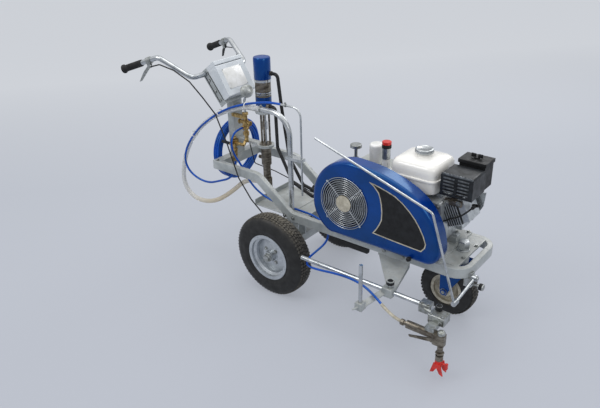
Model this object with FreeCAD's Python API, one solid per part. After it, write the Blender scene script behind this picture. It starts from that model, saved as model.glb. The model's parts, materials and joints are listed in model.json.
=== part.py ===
"""Walk-behind line striping machine, in millimetres.

The machine is drawn with its rails level: X forward from the rear axle, Y to the operator's left, Z up.
At the end it is set on its wheels: the small front wheel carries the nose a little lower than the rear
wheels do, so the whole machine turns about Y, and its footprint is centred on the origin.
"""
import FreeCAD
import Part
import math
import os
from FreeCAD import Vector

# ---- clearances -------------------------------------------------------------------------------------
CLEAR = 0.4            # between pieces that move past each other
FIT = 0.05             # radial clearance of a shaft or rod in its bore

# ---- frame of rectangular tube ------------------------------------------------------------------------
TUBE_W, TUBE_H, TUBE_WALL, TUBE_CORNER = 25.0, 46.0, 2.5, 4.0
FRAME_HALF = 160.0     # outer face of the rails from the middle
RAIL_TOP = 372.0
BOW_FRONT = 897.0      # front face of the bent bow
BOW_RADIUS = 75.0      # outside radius of the bow's corners
BOW_START = 700.0      # where the side tubes meet the bow
KNEE_X = 12.0
ARM_RUN, ARM_RISE = 200.0, 150.0
FRAME_REAR = -480.0
KNEE_BEND = 60.0
RAIL_Y = FRAME_HALF - TUBE_W / 2
RAIL_Z = RAIL_TOP - TUBE_H / 2
RAIL_BOTTOM = RAIL_TOP - TUBE_H
RAIL_INSIDE = FRAME_HALF - TUBE_W
ARM_TOP = RAIL_TOP + ARM_RISE

# ---- wheels -----------------------------------------------------------------------------------------
REAR_R, REAR_W = 200.0, 100.0
REAR_TRACK_HALF = 272.0
REAR_Z = 200.0
RIM_R, RIM_FLANGE_R, RIM_W = 101.0, 114.0, 88.0
RIM_SHEET = 3.0
AXLE_R = 12.5
HUB_R, HUB_HALF = 27.0, 42.0
FRONT_R, FRONT_W = 125.0, 82.0
FRONT_X, FRONT_Z = 764.0, 175.0
FRONT_RIM_R, FRONT_FLANGE_R, FRONT_RIM_W = 62.0, 72.0, 60.0
FRONT_AXLE_R, FRONT_HUB_R = 8.0, 20.0
CASTER_X = 810.0
KINGPIN_R = 10.0
FORK_SHEET = 5.0
FORK_INSIDE = FRONT_W / 2 + 7.0
FORK_TOP = 314.0
CASTER_PLATE = 6.0
SWIVEL_R = 27.0

# ---- axle carrier and pail tray -----------------------------------------------------------------------
DROP_PLATE = 8.0
CARRIER_TUBE = 40.0
TRAY_X = (-230.0, 60.0)
TRAY_Z = 336.0
TRAY_SHEET = 3.0
PAD_X, PAD_Y, PAD_H = (-210.0, -20.0), (-55.0, 112.0), 2.5      # raised seat for the pail

# ---- column, console and handlebar --------------------------------------------------------------------
POST_X = (FRAME_REAR, -440.0)
POST_HALF = 32.0
POST_TOP = 886.0
SLANT = math.radians(38.0)          # lean of the console, from upright
SLANT_AT = (-482.0, 887.0)          # middle of the console's back plane
CONSOLE_HALF = 95.0
TRAY_UP = (-98.0, 98.0)
CHANNEL_DEPTH = 42.0
CHANNEL_SHEET = 3.0
CONSOLE_DEPTH = (41.0, 66.0)        # at the lower and the upper end
LID_AT = 76.0                       # where the lid starts, up the slope
LEVER_REACH, LEVER_DROP = 88.0, 54.0
HINGE_AT = (102.0, 4.0)             # up the slope and forward of its back plane
HINGE_R, HINGE_PIN_R = 3.5, 2.0
HINGE_Y = (40.0, 60.0, 78.0)        # inner end, where lid and box knuckles meet, outer end
BAR_R, BAR_WALL = 12.5, 2.0
BAR_IN_CHANNEL = (78.0, -21.0)      # the bar's centre, up the slope and forward of the back plane
BAR_STRAIGHT = 186.0                # half the straight part through the channel
BAR_PEAK = (-705.0, 244.0, 1026.0)
BAR_END = (-910.0, 295.0, 953.0)
BAR_BEND = 42.0
GRIP_LENGTH, GRIP_R = 118.0, 17.0

# ---- fluid pump -------------------------------------------------------------------------------------
PUMP_X = -262.0
CAP_R, CAP_Z = 40.0, (932.0, 1035.0)
RAM_R, RAM_BORE, RAM_Z = 38.0, 25.0, (795.0, 932.0)
HEAD_R, HEAD_Z = 34.0, (765.0, 795.0)
ROD_R = 8.0
STROKE = 70.0
TIE_CIRCLE, TIE_R = 23.0, 5.0
YOKE_R, YOKE_Z = 31.0, (592.0, 610.0)
LOWER_R, LOWER_BORE, LOWER_Z = 25.0, 14.0, (500.0, 592.0)
INTAKE_R, INTAKE_Z = 19.0, (424.0, 500.0)
FOOT_R, FOOT_Z = 24.0, (372.0, 424.0)

MANIFOLD_AT, MANIFOLD_TOP = (-352.0, -40.0), 762.0
GAUGE_AT = (-326.0, -46.0, 876.0)
VALVE_AT, VALVE_Z = (-418.0, -62.0), 600.0
OUTLET_R, OUTLET_DEPTH, OUTLET_Z = 4.5, 20.0, 711.0
OUTLET_REACH = 34.0                  # from the manifold's centre to the outlet's mouth
PORT_REACH, PORT_R = 10.0, 11.0      # hose ports on the ram and on the hydraulic pump

# ---- engine -----------------------------------------------------------------------------------------
CRANK = (665.0, 510.0)
CRANK_R = 12.5
DECK_X = (530.0, 780.0)
DECK_SHEET, DECK_RISER = 5.5, 26.5
ENGINE_BASE = RAIL_TOP + DECK_SHEET + DECK_RISER
BLOCK_X, BLOCK_Y, BLOCK_TOP = (590.0, 742.0), (-100.0, 66.0), 600.0
BOSS_R, BOSS_Y = 58.0, -122.0
CYLINDER_TILT = 25.0
SHROUD_R, SHROUD_Y = 98.0, (68.0, 150.0)
STARTER_R, STARTER_Y = 82.0, 172.0
FUEL_X, FUEL_HALF = (490.0, 712.0), 105.0
FUEL_Z = (612.0, 676.0, 684.0, 740.0, 751.0)     # bottom, flange, flange top, shoulder, crown
FUEL_CAP_AT, FUEL_CAP_R, FUEL_CAP_H = (600.0, 4.0), 38.5, 18.0
MUFFLER_X, MUFFLER_Y, MUFFLER_Z = (732.0, 866.0), (-105.0, 8.0), (643.0, 740.0)
CLEANER_X, CLEANER_Y, CLEANER_Z = (750.0, 858.0), (14.0, 94.0), (640.0, 762.0)

# ---- belt drive -------------------------------------------------------------------------------------
COVER_Y = (-212.0, -140.0)
COVER_SHEET = 2.5
COVER_ROUND = 18.0
FAN_AT = (355.0, 541.0)
GRILLE_R = 118.0
COVER_HOLE_R = 110.0
FAN_PULLEY_R, CRANK_PULLEY_R = 100.0, 46.0
GROOVE_DEPTH, GROOVE_W = 9.0, 10.0
GROOVES_Y = (-178.0, -162.0)
PULLEY_Y = (-187.0, -153.0)
FAN_SHAFT_R = 10.0
BACK_PLATE = 3.0

# ---- hydraulics -------------------------------------------------------------------------------------
TANK_X, TANK_Y, TANK_Z = (268.0, 486.0), (-12.0, 125.0), (398.0, 640.0)
PUMP_BODY_R, PUMP_BODY_Y = 46.0, (-137.0, -22.0)
KNOB_AT, KNOB_R, KNOB_Z = (300.0, -45.0), 25.0, (728.0, 742.0)
FILTER_AT, FILTER_R, FILTER_Z = (352.0, 42.0), 33.0, (646.0, 730.0)
NECK_AT, NECK_R, NECK_TOP = (424.0, 2.0), 17.0, 754.0
FILLER_CAP_R, FILLER_CAP_H = 20.0, 13.0

# ---- gun arm ----------------------------------------------------------------------------------------
ARM_R = 10.0
ARM_Y, ARM_Z = -330.0, 285.0
ARM_X = (216.0, 846.0)
CLAMP_X = 655.0
STUD_AT, STUD_R, STUD_Z, STUD_SEAT = (599.0, -450.0), 8.0, (236.0, 446.0), 41.0
GUN_X, GUN_Y = 938.0, -430.0
GUN_PIVOT_X = 860.0
GUN_TOP, GUN_TIP = 252.0, 150.0
BARREL_R = 11.0
GUARD_BOTTOM = 92.0

# ---- pointer ----------------------------------------------------------------------------------------
POINTER_Y = -232.0
POINTER_R = 5.0
STUB_R = 6.5
POINTER_ROOT = (914.0, -107.0, 330.0)
POINTER_ELBOW = (891.0, 268.0)
POINTER_BEND = (771.0, 627.0)
POINTER_TIP = (222.0, 809.0)

X_AXIS, Y_AXIS, Z_AXIS = Vector(1, 0, 0), Vector(0, 1, 0), Vector(0, 0, 1)


# ---- shapes -----------------------------------------------------------------------------------------
def block(x, y, z):
    """A box between pairs of coordinates."""
    low = Vector(min(x), min(y), min(z))
    return Part.makeBox(abs(x[1] - x[0]), abs(y[1] - y[0]), abs(z[1] - z[0]), low)


def rod(start, end, radius):
    """A round bar between two points."""
    start, end = Vector(*start), Vector(*end)
    return Part.makeCylinder(radius, (end - start).Length, start, end - start)


def post(at, z, radius):
    """An upright round bar."""
    return rod((at[0], at[1], z[0]), (at[0], at[1], z[1]), radius)


def across(at, y, radius):
    """A round bar along Y, its centre given in the XZ plane."""
    return rod((at[0], y[0], at[1]), (at[0], y[1], at[1]), radius)


def joined(first, *others):
    """One piece made of overlapping or touching shapes."""
    return first.fuse(list(others)).removeSplitter() if others else first


def slab(points, y):
    """A flat outline in the XZ plane, given thickness along Y."""
    corners = [Vector(px, y[0], pz) for px, pz in points]
    face = Part.Face(Part.makePolygon(corners + corners[:1]))
    return face.extrude(Vector(0, y[1] - y[0], 0))


def turned(profile, centre, axis, upright):
    """A solid of revolution: the profile's points are (distance from the axis, distance along it)."""
    corners = [centre + upright * radius + axis * along for radius, along in profile]
    face = Part.Face(Part.makePolygon(corners + corners[:1]))
    return face.revolve(centre, axis, 360)


def edges_along(shape, axis):
    """The straight edges of a shape that run along an axis."""
    picked = []
    for edge in shape.Edges:
        if isinstance(edge.Curve, Part.Line) and abs(edge.tangentAt(edge.FirstParameter).dot(axis)) > 0.999:
            picked.append(edge)
    return picked


def rounded(shape, radius, *axes):
    """A shape with its straight edges along the given axes rounded."""
    return shape.makeFillet(radius, [edge for axis in axes for edge in edges_along(shape, axis)])


def rounded_rectangle(centre, across_dir, up_dir, width, height, corner):
    """A closed wire: a rectangle with round corners."""
    across_dir, up_dir = across_dir.normalize(), up_dir.normalize()
    half_w, half_h = width / 2, height / 2
    edges = []
    signs = [(1, 1), (-1, 1), (-1, -1), (1, -1)]
    lean = corner * (1 - math.sqrt(0.5))
    spots = []
    for sx, sy in signs:
        side = centre + across_dir * (sx * half_w) + up_dir * (sy * (half_h - corner))
        middle = centre + across_dir * (sx * (half_w - lean)) + up_dir * (sy * (half_h - lean))
        top = centre + across_dir * (sx * (half_w - corner)) + up_dir * (sy * half_h)
        spots.append((side, middle, top) if sx * sy > 0 else (top, middle, side))
    for here, following in zip(spots, spots[1:] + spots[:1]):
        edges.append(Part.Arc(*here).toShape())
        edges.append(Part.LineSegment(here[2], following[0]).toShape())
    return Part.Wire(edges)


def route(points, bend=None):
    """Straight runs joined by tangent arcs. With no bend radius each arc is as large as its runs allow."""
    points = [Vector(*point) for point in points]
    edges, start = [], points[0]
    for before, corner, after in zip(points, points[1:], points[2:]):
        back, ahead = before - corner, after - corner
        shorter = min(back.Length, ahead.Length)
        back.normalize()
        ahead.normalize()
        half_turn = (math.pi - back.getAngle(ahead)) / 2
        radius = bend or 0.45 * shorter / math.tan(half_turn)
        reach = radius * math.tan(half_turn)
        inward = (back + ahead).normalize()
        middle = corner + inward * (radius / math.cos(half_turn) - radius)
        edges.append(Part.LineSegment(start, corner + back * reach).toShape())
        edges.append(Part.Arc(corner + back * reach, middle, corner + ahead * reach).toShape())
        start = corner + ahead * reach
    edges.append(Part.LineSegment(start, points[-1]).toShape())
    return Part.Wire(edges)


def bent_rod(points, radius, bend=None):
    """A round bar or hose along a route."""
    path = route(points, bend)
    along = Vector(*points[1]) - Vector(*points[0])
    section = Part.Wire(Part.makeCircle(radius, Vector(*points[0]), along))
    return path.makePipeShell([section], True, False)


def bent_tube(points, radius, wall, bend=None):
    """A round tube, open at both ends, along a route."""
    return bent_rod(points, radius, bend).cut(bent_rod(points, radius - wall, bend))


def rectangular_tube(points, bend, side, capped_end=False):
    """The frame's rectangular tube along a route; side is the direction of its narrow width."""
    points = [Vector(*point) for point in points]
    inner = list(points)
    if capped_end:
        inner[-1] = points[-1] + (points[-2] - points[-1]).normalize() * TUBE_WALL
    solids = []
    for spots, trim in ((points, 0.0), (inner, TUBE_WALL)):
        along = points[1] - points[0]
        up = along.cross(side)
        corner = TUBE_CORNER - trim
        section = rounded_rectangle(points[0], Vector(side), up, TUBE_W - 2 * trim, TUBE_H - 2 * trim, corner)
        solids.append(route(spots, bend).makePipeShell([section], True, False))
    return solids[0].cut(solids[1])


def on_slope(up, forward, y):
    """A point of the slanted console: distance up the slope, forward of its back plane, and Y."""
    x = SLANT_AT[0] - up * math.sin(SLANT) + forward * math.cos(SLANT)
    z = SLANT_AT[1] + up * math.cos(SLANT) + forward * math.sin(SLANT)
    return Vector(x, y, z)


def slope_slab(points, y):
    """A flat outline in the console's slanted plane, given thickness along Y."""
    return slab([(on_slope(up, forward, 0).x, on_slope(up, forward, 0).z) for up, forward in points], y)


def soft_top(shape, radius):
    """A shape with the closed edges of its top face rounded."""
    top = shape.BoundBox.ZMax
    return shape.makeFillet(radius, [edge for edge in shape.Edges if edge.BoundBox.ZMin > top - 0.01])


# ---- frame ------------------------------------------------------------------------------------------
def side_tube(side):
    y = side * RAIL_Y
    arm_z = RAIL_Z + ARM_RISE
    points = [(BOW_START, y, RAIL_Z), (KNEE_X, y, RAIL_Z), (KNEE_X - ARM_RUN, y, arm_z), (FRAME_REAR, y, arm_z)]
    return rectangular_tube(points, KNEE_BEND, Y_AXIS, capped_end=True)


def bow_points():
    nose = BOW_FRONT - TUBE_W / 2
    return [(BOW_START, -RAIL_Y, RAIL_Z), (nose, -RAIL_Y, RAIL_Z), (nose, RAIL_Y, RAIL_Z), (BOW_START, RAIL_Y, RAIL_Z)]


def bow_outside():
    """The bow's outer shape, for what is clamped round it."""
    section = rounded_rectangle(Vector(*bow_points()[0]), Vector(0, 1, 0), Vector(0, 0, 1), TUBE_W, TUBE_H, TUBE_CORNER)
    return route(bow_points(), BOW_RADIUS - TUBE_W / 2).makePipeShell([section], True, False)


def front_bow():
    """The bent bow with the caster plate and the swivel housing welded in."""
    points = bow_points()
    bow = rectangular_tube(points, BOW_RADIUS - TUBE_W / 2, Y_AXIS)
    plate_x = (CASTER_X - 75, CASTER_X + 40)
    plate = block(plate_x, (-RAIL_INSIDE, RAIL_INSIDE), (RAIL_TOP - CASTER_PLATE, RAIL_TOP))
    housing = post((CASTER_X, 0), (FORK_TOP + CLEAR, RAIL_TOP), SWIVEL_R)
    bore = post((CASTER_X, 0), (FORK_TOP, RAIL_TOP + 1), KINGPIN_R + FIT)
    return joined(bow, plate, housing).cut(bore)


def axle_carrier():
    """Drop plates, cross tube and stub axles, with the pail tray welded above."""
    pieces = []
    foot = REAR_Z - CARRIER_TUBE / 2 - 5
    for side in (-1, 1):
        y = (side * RAIL_Y - DROP_PLATE / 2, side * RAIL_Y + DROP_PLATE / 2)
        pieces.append(slab([(-45, RAIL_BOTTOM), (55, RAIL_BOTTOM), (28, foot), (-28, foot)], y))
        pieces.append(across((0, REAR_Z), (side * RAIL_Y, side * (REAR_TRACK_HALF + HUB_HALF + 14)), AXLE_R))
    half = CARRIER_TUBE / 2
    tube = block((-half, half), (-RAIL_Y, RAIL_Y), (REAR_Z - half, REAR_Z + half))
    pieces.append(tube)
    for y in (-60, 60):
        pieces.append(block((-25, 25), (y - 4, y + 4), (REAR_Z + half, TRAY_Z)))
        pieces.append(block(TRAY_X, (y - 10, y + 10), (TRAY_Z - 8, TRAY_Z)))
    pieces.append(block(TRAY_X, (-RAIL_INSIDE, RAIL_INSIDE), (TRAY_Z, TRAY_Z + TRAY_SHEET)))
    pieces.append(block(PAD_X, PAD_Y, (TRAY_Z + TRAY_SHEET - 1, TRAY_Z + TRAY_SHEET + PAD_H)))
    lip = (TRAY_X[0], TRAY_X[0] + TRAY_SHEET)
    pieces.append(block(lip, (-RAIL_INSIDE, RAIL_INSIDE), (TRAY_Z, TRAY_Z + 28)))
    return joined(*pieces)


def engine_deck():
    sheet = block(DECK_X, (-FRAME_HALF + 8, FRAME_HALF - 8), (RAIL_TOP, RAIL_TOP + DECK_SHEET))
    risers = [block((BLOCK_X[0] - 24, BLOCK_X[1] + 24), (y - 20, y + 20), (RAIL_TOP + DECK_SHEET, ENGINE_BASE))
              for y in (-65, 40)]
    return joined(sheet, *risers)


# ---- wheels -----------------------------------------------------------------------------------------
def tyre(x, y, z, radius, width, bead, flange, rim_width):
    """A round-shouldered tyre on its rim."""
    half = width / 2
    seat = rim_width / 2 - CLEAR
    crown, shoulder = radius, radius - 0.18 * width
    points = [(bead, -seat), (flange + 2, -seat), (0.55 * radius + 0.45 * bead, -half), (shoulder, -half + 3),
              (crown - 4, -half * 0.66), (crown, 0), (crown - 4, half * 0.66), (shoulder, half - 3),
              (0.55 * radius + 0.45 * bead, half), (flange + 2, seat), (bead, seat), (bead + 10, seat - 10),
              (crown - 14, half - 14), (crown - 14, -half + 14), (bead + 10, -seat + 10)]
    return turned(points, Vector(x, y, z), Y_AXIS, Z_AXIS)


def rim(x, y, z, sizes, side):
    """A pressed rim: a drop-centre barrel, a dished disc set towards the outside, and the hub."""
    bead, flange, width, hub, hub_half, bore = sizes
    half = width / 2
    sheet = RIM_SHEET
    barrel = [(bead - CLEAR, -half), (flange - 1, -half), (flange - 1, -half - sheet), (bead - CLEAR - sheet, -half - sheet),
              (bead - CLEAR - sheet, -half + 12), (bead - 14, -half + 20), (bead - 14, half - 20),
              (bead - CLEAR - sheet, half - 12), (bead - CLEAR - sheet, half + sheet), (flange - 1, half + sheet),
              (flange - 1, half), (bead - CLEAR, half), (bead - CLEAR, half - 10),
              (bead - 14 + sheet, half - 20 + sheet), (bead - 14 + sheet, -half + 20 - sheet), (bead - CLEAR, -half + 10)]
    centre = Vector(x, y, z)
    dish = side * 8
    disc = [(bead - 12, dish), (hub + 18, dish + side * 12), (hub - 2, dish + side * 12),
            (hub - 2, dish + side * 7), (hub + 16, dish + side * 7), (bead - 12, dish - side * 5)]
    shell = joined(turned(barrel, centre, Y_AXIS, Z_AXIS), turned(disc, centre, Y_AXIS, Z_AXIS))
    core = across((x, z), (y - hub_half, y + hub_half), hub)
    return joined(shell, core).cut(across((x, z), (y - hub_half - 1, y + hub_half + 1), bore))


def rear_tyre(side):
    return tyre(0, side * REAR_TRACK_HALF, REAR_Z, REAR_R, REAR_W, RIM_R, RIM_FLANGE_R, RIM_W)


def rear_rim(side):
    sizes = (RIM_R, RIM_FLANGE_R, RIM_W, HUB_R, HUB_HALF, AXLE_R + FIT)
    return rim(0, side * REAR_TRACK_HALF, REAR_Z, sizes, side)


def front_tyre():
    return tyre(FRONT_X, 0, FRONT_Z, FRONT_R, FRONT_W, FRONT_RIM_R, FRONT_FLANGE_R, FRONT_RIM_W)


def front_rim():
    sizes = (FRONT_RIM_R, FRONT_FLANGE_R, FRONT_RIM_W, FRONT_HUB_R, FORK_INSIDE - CLEAR, FRONT_AXLE_R + FIT)
    return rim(FRONT_X, 0, FRONT_Z, sizes, -1)


def caster_fork():
    """Top plate, two legs, kingpin with its nut, and the front axle bolt."""
    top = (FORK_TOP - FORK_SHEET, FORK_TOP)
    outer = FORK_INSIDE + FORK_SHEET
    pieces = [block((FRONT_X - 24, CASTER_X + 36), (-outer, outer), top)]
    for side in (-1, 1):
        y = (side * FORK_INSIDE, side * outer)
        leg = slab([(FRONT_X - 24, top[1]), (CASTER_X + 36, top[1]), (CASTER_X + 30, top[0] - 34),
                    (FRONT_X + 20, FRONT_Z + 6), (FRONT_X + 12, FRONT_Z - 18), (FRONT_X - 12, FRONT_Z - 18),
                    (FRONT_X - 20, FRONT_Z + 6)], y)
        pieces.append(leg)
        pieces.append(across((FRONT_X, FRONT_Z), (side * outer, side * (outer + 9)), 13))
    pieces.append(across((FRONT_X, FRONT_Z), (-outer, outer), FRONT_AXLE_R))
    pieces.append(post((CASTER_X, 0), (top[1] - 1, RAIL_TOP + 42), KINGPIN_R))
    pieces.append(post((CASTER_X, 0), (RAIL_TOP + CLEAR, RAIL_TOP + 5), 24))
    pieces.append(post((CASTER_X, 0), (RAIL_TOP + 5, RAIL_TOP + 25), 17))
    return joined(*pieces)


# ---- column and controls ------------------------------------------------------------------------------
def fixed_knuckles():
    """The channel's half of the lid hinge, bored for the lid's pins."""
    up, forward = HINGE_AT
    start, outer = HINGE_Y[1] + CLEAR, HINGE_Y[2]
    leaf = [(up - 9, -CHANNEL_SHEET), (up, -CHANNEL_SHEET), (up, forward), (TRAY_UP[1] + CLEAR, forward), (TRAY_UP[1] + CLEAR, 0), (up - 9, 0)]
    halves = []
    for side in (-1, 1):
        plate = slope_slab(leaf, sorted((side * start, side * outer)))
        knuckle = plate.fuse(hinge_rod(side, start, outer, HINGE_R))
        halves.append(knuckle.cut(hinge_rod(side, start - 1, outer + 1, HINGE_PIN_R + FIT)))
    return halves


def column_post():
    """Rear cross tube, upright post, slanted sheet channel and the arms that carry the fluid pump."""
    cross = block((FRAME_REAR, FRAME_REAR + TUBE_H), (-RAIL_INSIDE, RAIL_INSIDE), (ARM_TOP - TUBE_H, ARM_TOP))
    upright = block(POST_X, (-POST_HALF, POST_HALF), (ARM_TOP - 1, POST_TOP))
    upright = upright.cut(slope_slab([(-200, -1), (200, -1), (200, 200), (-200, 200)], (-POST_HALF - 1, POST_HALF + 1)))
    low, high = TRAY_UP
    profile = [(low, 0), (high, 0), (high, -CHANNEL_DEPTH), (low, -CHANNEL_DEPTH)]
    channel = slope_slab(profile, (-CONSOLE_HALF, CONSOLE_HALF))
    inside = [(low - 1, -CHANNEL_SHEET), (high + 1, -CHANNEL_SHEET), (high + 1, -CHANNEL_DEPTH - 1),
              (low - 1, -CHANNEL_DEPTH - 1)]
    hollow = slope_slab(inside, (-CONSOLE_HALF + CHANNEL_SHEET, CONSOLE_HALF - CHANNEL_SHEET))
    bar_hole = rod(on_slope(*BAR_IN_CHANNEL, -CONSOLE_HALF - 1), on_slope(*BAR_IN_CHANNEL, CONSOLE_HALF + 1), BAR_R + FIT)
    brackets = []
    for z in ((HEAD_Z[0] + 4, HEAD_Z[0] + 18), (YOKE_Z[0] + 3, YOKE_Z[1] - 3)):
        brackets.append(block((POST_X[1], PUMP_X), (-16, 16), z))
        brackets.append(post((PUMP_X, 0), z, HEAD_R + 9))
    body = joined(cross, upright, channel.cut(hollow).cut(bar_hole), *brackets, *fixed_knuckles())
    clearing = [post((PUMP_X, 0), (HEAD_Z[0] - 5, HEAD_Z[1] + 5), HEAD_R + FIT),
                post((PUMP_X, 0), (YOKE_Z[0] - 5, YOKE_Z[1] + 5), YOKE_R + FIT)]
    return body.cut(clearing[0]).cut(clearing[1])


def console_section(low, high, trim=0.0):
    """The console's wedge between two places up the slope, its front a shallow curve."""
    def depth(up):
        share = (up - TRAY_UP[0]) / (TRAY_UP[1] - TRAY_UP[0])
        return CONSOLE_DEPTH[0] + share * (CONSOLE_DEPTH[1] - CONSOLE_DEPTH[0]) - trim
    profile = [(low + trim, CHANNEL_SHEET - 2.5), (high - trim, CHANNEL_SHEET - 2.5),
               (high - trim, depth(high)), (low + trim, depth(low))]
    half = CONSOLE_HALF - 1 - trim
    return slope_slab(profile, (-half, half))


def console_box():
    """The sheet steel control box, hollow, open under its lid."""
    low = TRAY_UP[0] + 14
    shell = console_section(low, LID_AT)
    shell = rounded(shell, 6, Y_AXIS)
    hollow = console_section(low, LID_AT + 4, 2.0)
    return shell.cut(hollow)


def hinge_rod(side, start, end, radius):
    return rod(on_slope(*HINGE_AT, side * start), on_slope(*HINGE_AT, side * end), radius)


def console_lid():
    """The cap of the box: it tips back on two hinges along its upper rear edge."""
    cap = rounded(console_section(LID_AT + CLEAR, TRAY_UP[1]), 5, Y_AXIS)
    up, forward = HINGE_AT
    inner, middle, outer = HINGE_Y
    leaf = [(up - 12, forward - 1.5), (up, forward - 1.5), (up, forward + 1.5), (up - 12, forward + 1.5)]
    pieces = [cap]
    for side in (-1, 1):
        pieces.append(slope_slab(leaf, sorted((side * inner, side * middle))))
        pieces.append(hinge_rod(side, inner, middle, HINGE_R))
        pieces.append(hinge_rod(side, middle - 1, outer - 2, HINGE_PIN_R))
    return joined(*pieces)


def pressure_gauge():
    """A round gauge that looks at the operator's side, on a stem from the paint manifold."""
    face = Vector(*GAUGE_AT)
    look = Vector(0.62, -0.68, 0.38).normalize()
    case = Part.makeCylinder(31, 24, face - look * 24, look)
    centre = face - look * 12
    stem = rod((*MANIFOLD_AT, MANIFOLD_TOP), (*MANIFOLD_AT, MANIFOLD_TOP + 60), 6)
    neck = rod((*MANIFOLD_AT, MANIFOLD_TOP + 56), (centre.x, centre.y, centre.z), 6)
    return joined(case, stem, neck)


def handlebar():
    """One bent tube, through the channel from grip to grip."""
    knee = on_slope(*BAR_IN_CHANNEL, BAR_STRAIGHT)
    side = [(knee.x, knee.y, knee.z), BAR_PEAK, BAR_END]
    other = [(x, -y, z) for x, y, z in side]
    return bent_tube(other[::-1] + side, BAR_R, BAR_WALL, BAR_BEND)


def bar_spot(side, from_end):
    """A point on the straight hand part of the bar, and the direction towards its end."""
    end, peak = Vector(*BAR_END), Vector(*BAR_PEAK)
    outward = (end - peak).normalize()
    spot = end - outward * from_end
    flip = Vector(1, side, 1)
    return Vector(spot.x, spot.y * flip.y, spot.z), Vector(outward.x, outward.y * flip.y, outward.z)


def hand_grips():
    grips = []
    for side in (-1, 1):
        spot, outward = bar_spot(side, GRIP_LENGTH)
        sleeve = Part.makeCylinder(GRIP_R, GRIP_LENGTH + 6, spot, outward)
        collar = Part.makeCylinder(GRIP_R + 5, 7, spot + outward * (GRIP_LENGTH - 1), outward)
        bore = Part.makeCylinder(BAR_R + FIT, GRIP_LENGTH + 1 + CLEAR, spot - outward, outward)
        grips.append(joined(sleeve, collar).cut(bore))
    return grips


def lever_pivot(side):
    """Where a hand lever turns: just under the bar, in front of the grip."""
    spot, outward = bar_spot(side, GRIP_LENGTH + 46)
    return spot + Vector(0, 0, -BAR_R - 16), outward


def hand_lever(side, reach, drop):
    """A flat lever below the bar, on a pin across the perch: broad at its root and narrow at its tip."""
    pivot, outward = lever_pivot(side)
    across_bar = outward.cross(Z_AXIS).normalize()
    down = across_bar.cross(outward).normalize()
    down = down if down.z < 0 else down * -1
    hub = Part.makeCylinder(9, 8, pivot - across_bar * 4, across_bar)
    tip = pivot + outward * reach + down * drop
    shoulder = pivot + outward * (0.42 * reach) + down * (0.3 * drop)
    corners = [pivot + outward * 6 - down * 7, pivot - outward * 9, tip - outward * 8, tip + outward * 7, shoulder + outward * 12]
    face = Part.Face(Part.makePolygon([c - across_bar * 2 for c in corners + corners[:1]]))
    blade = face.extrude(across_bar * 4)
    pin_hole = Part.makeCylinder(3 + FIT, 20, pivot - across_bar * 10, across_bar)
    return joined(hub, blade).cut(pin_hole)


def lever_perch(side):
    """A ring round the bar with two ears and the pin that the lever turns on."""
    pivot, outward = lever_pivot(side)
    across_bar = outward.cross(Z_AXIS).normalize()
    spot, outward = bar_spot(side, GRIP_LENGTH + 46)
    ring = Part.makeCylinder(BAR_R + 5, 26, spot - outward * 13, outward)
    ears = []
    for sign in (-1, 1):
        start = pivot + across_bar * (sign * (4 + CLEAR) if sign > 0 else -(8 + CLEAR))
        ear = Part.makeCylinder(9, 4, start, across_bar)
        ears.append(ear)
        web = block((-9, 9), (-2, 2), (0, 18))
        web.Placement = FreeCAD.Placement(start + across_bar * 2, FreeCAD.Rotation(Y_AXIS, across_bar))
        ears.append(web)
    pin = Part.makeCylinder(3, 2 * (8 + CLEAR), pivot - across_bar * (8 + CLEAR), across_bar)
    bore = Part.makeCylinder(BAR_R + FIT, 30, spot - outward * 15, outward)
    return joined(ring, *ears, pin).cut(bore)


# ---- fluid pump -------------------------------------------------------------------------------------
def pump_cylinder():
    """Hydraulic ram of the fluid pump: cap, grooved barrel and head."""
    at = (PUMP_X, 0)
    barrel = post(at, RAM_Z, RAM_R)
    for z in (RAM_Z[0] + 52, RAM_Z[0] + 66):
        ring = post(at, (z, z + 4), RAM_R + 1).cut(post(at, (z - 1, z + 5), RAM_R - 2))
        barrel = barrel.cut(ring)
    cap = soft_top(post(at, CAP_Z, CAP_R), 4)
    body = joined(barrel, cap, post(at, HEAD_Z, HEAD_R))
    ports = [rod((PUMP_X + RAM_R - 6, y, z), (PUMP_X + RAM_R + PORT_REACH, y, z), PORT_R)
             for y, z in ((12, CAP_Z[0] + 30), (-12, RAM_Z[0] + 14))]
    body = joined(body, *ports)
    bore = post(at, (RAM_Z[0] + 12, CAP_Z[0] - 4), RAM_BORE)
    return body.cut(bore).cut(post(at, (HEAD_Z[0] - 1, RAM_Z[0] + 13), ROD_R + FIT))


def pump_rod():
    """Piston rod: the upper piston in the ram, the lower one in the fluid section."""
    at = (PUMP_X, 0)
    upper = post(at, (CAP_Z[0] - 4 - 16 - 2, CAP_Z[0] - 4 - 2), RAM_BORE - FIT)
    lower = post(at, (LOWER_Z[0] + STROKE + 4, LOWER_Z[0] + STROKE + 16), LOWER_BORE - FIT)
    coupling = post(at, (YOKE_Z[1] + STROKE + 4, YOKE_Z[1] + STROKE + 44), ROD_R + 5)
    shaft = post(at, (LOWER_Z[0] + STROKE + 4, CAP_Z[0] - 6), ROD_R)
    return joined(shaft, upper, lower, coupling)


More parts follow.
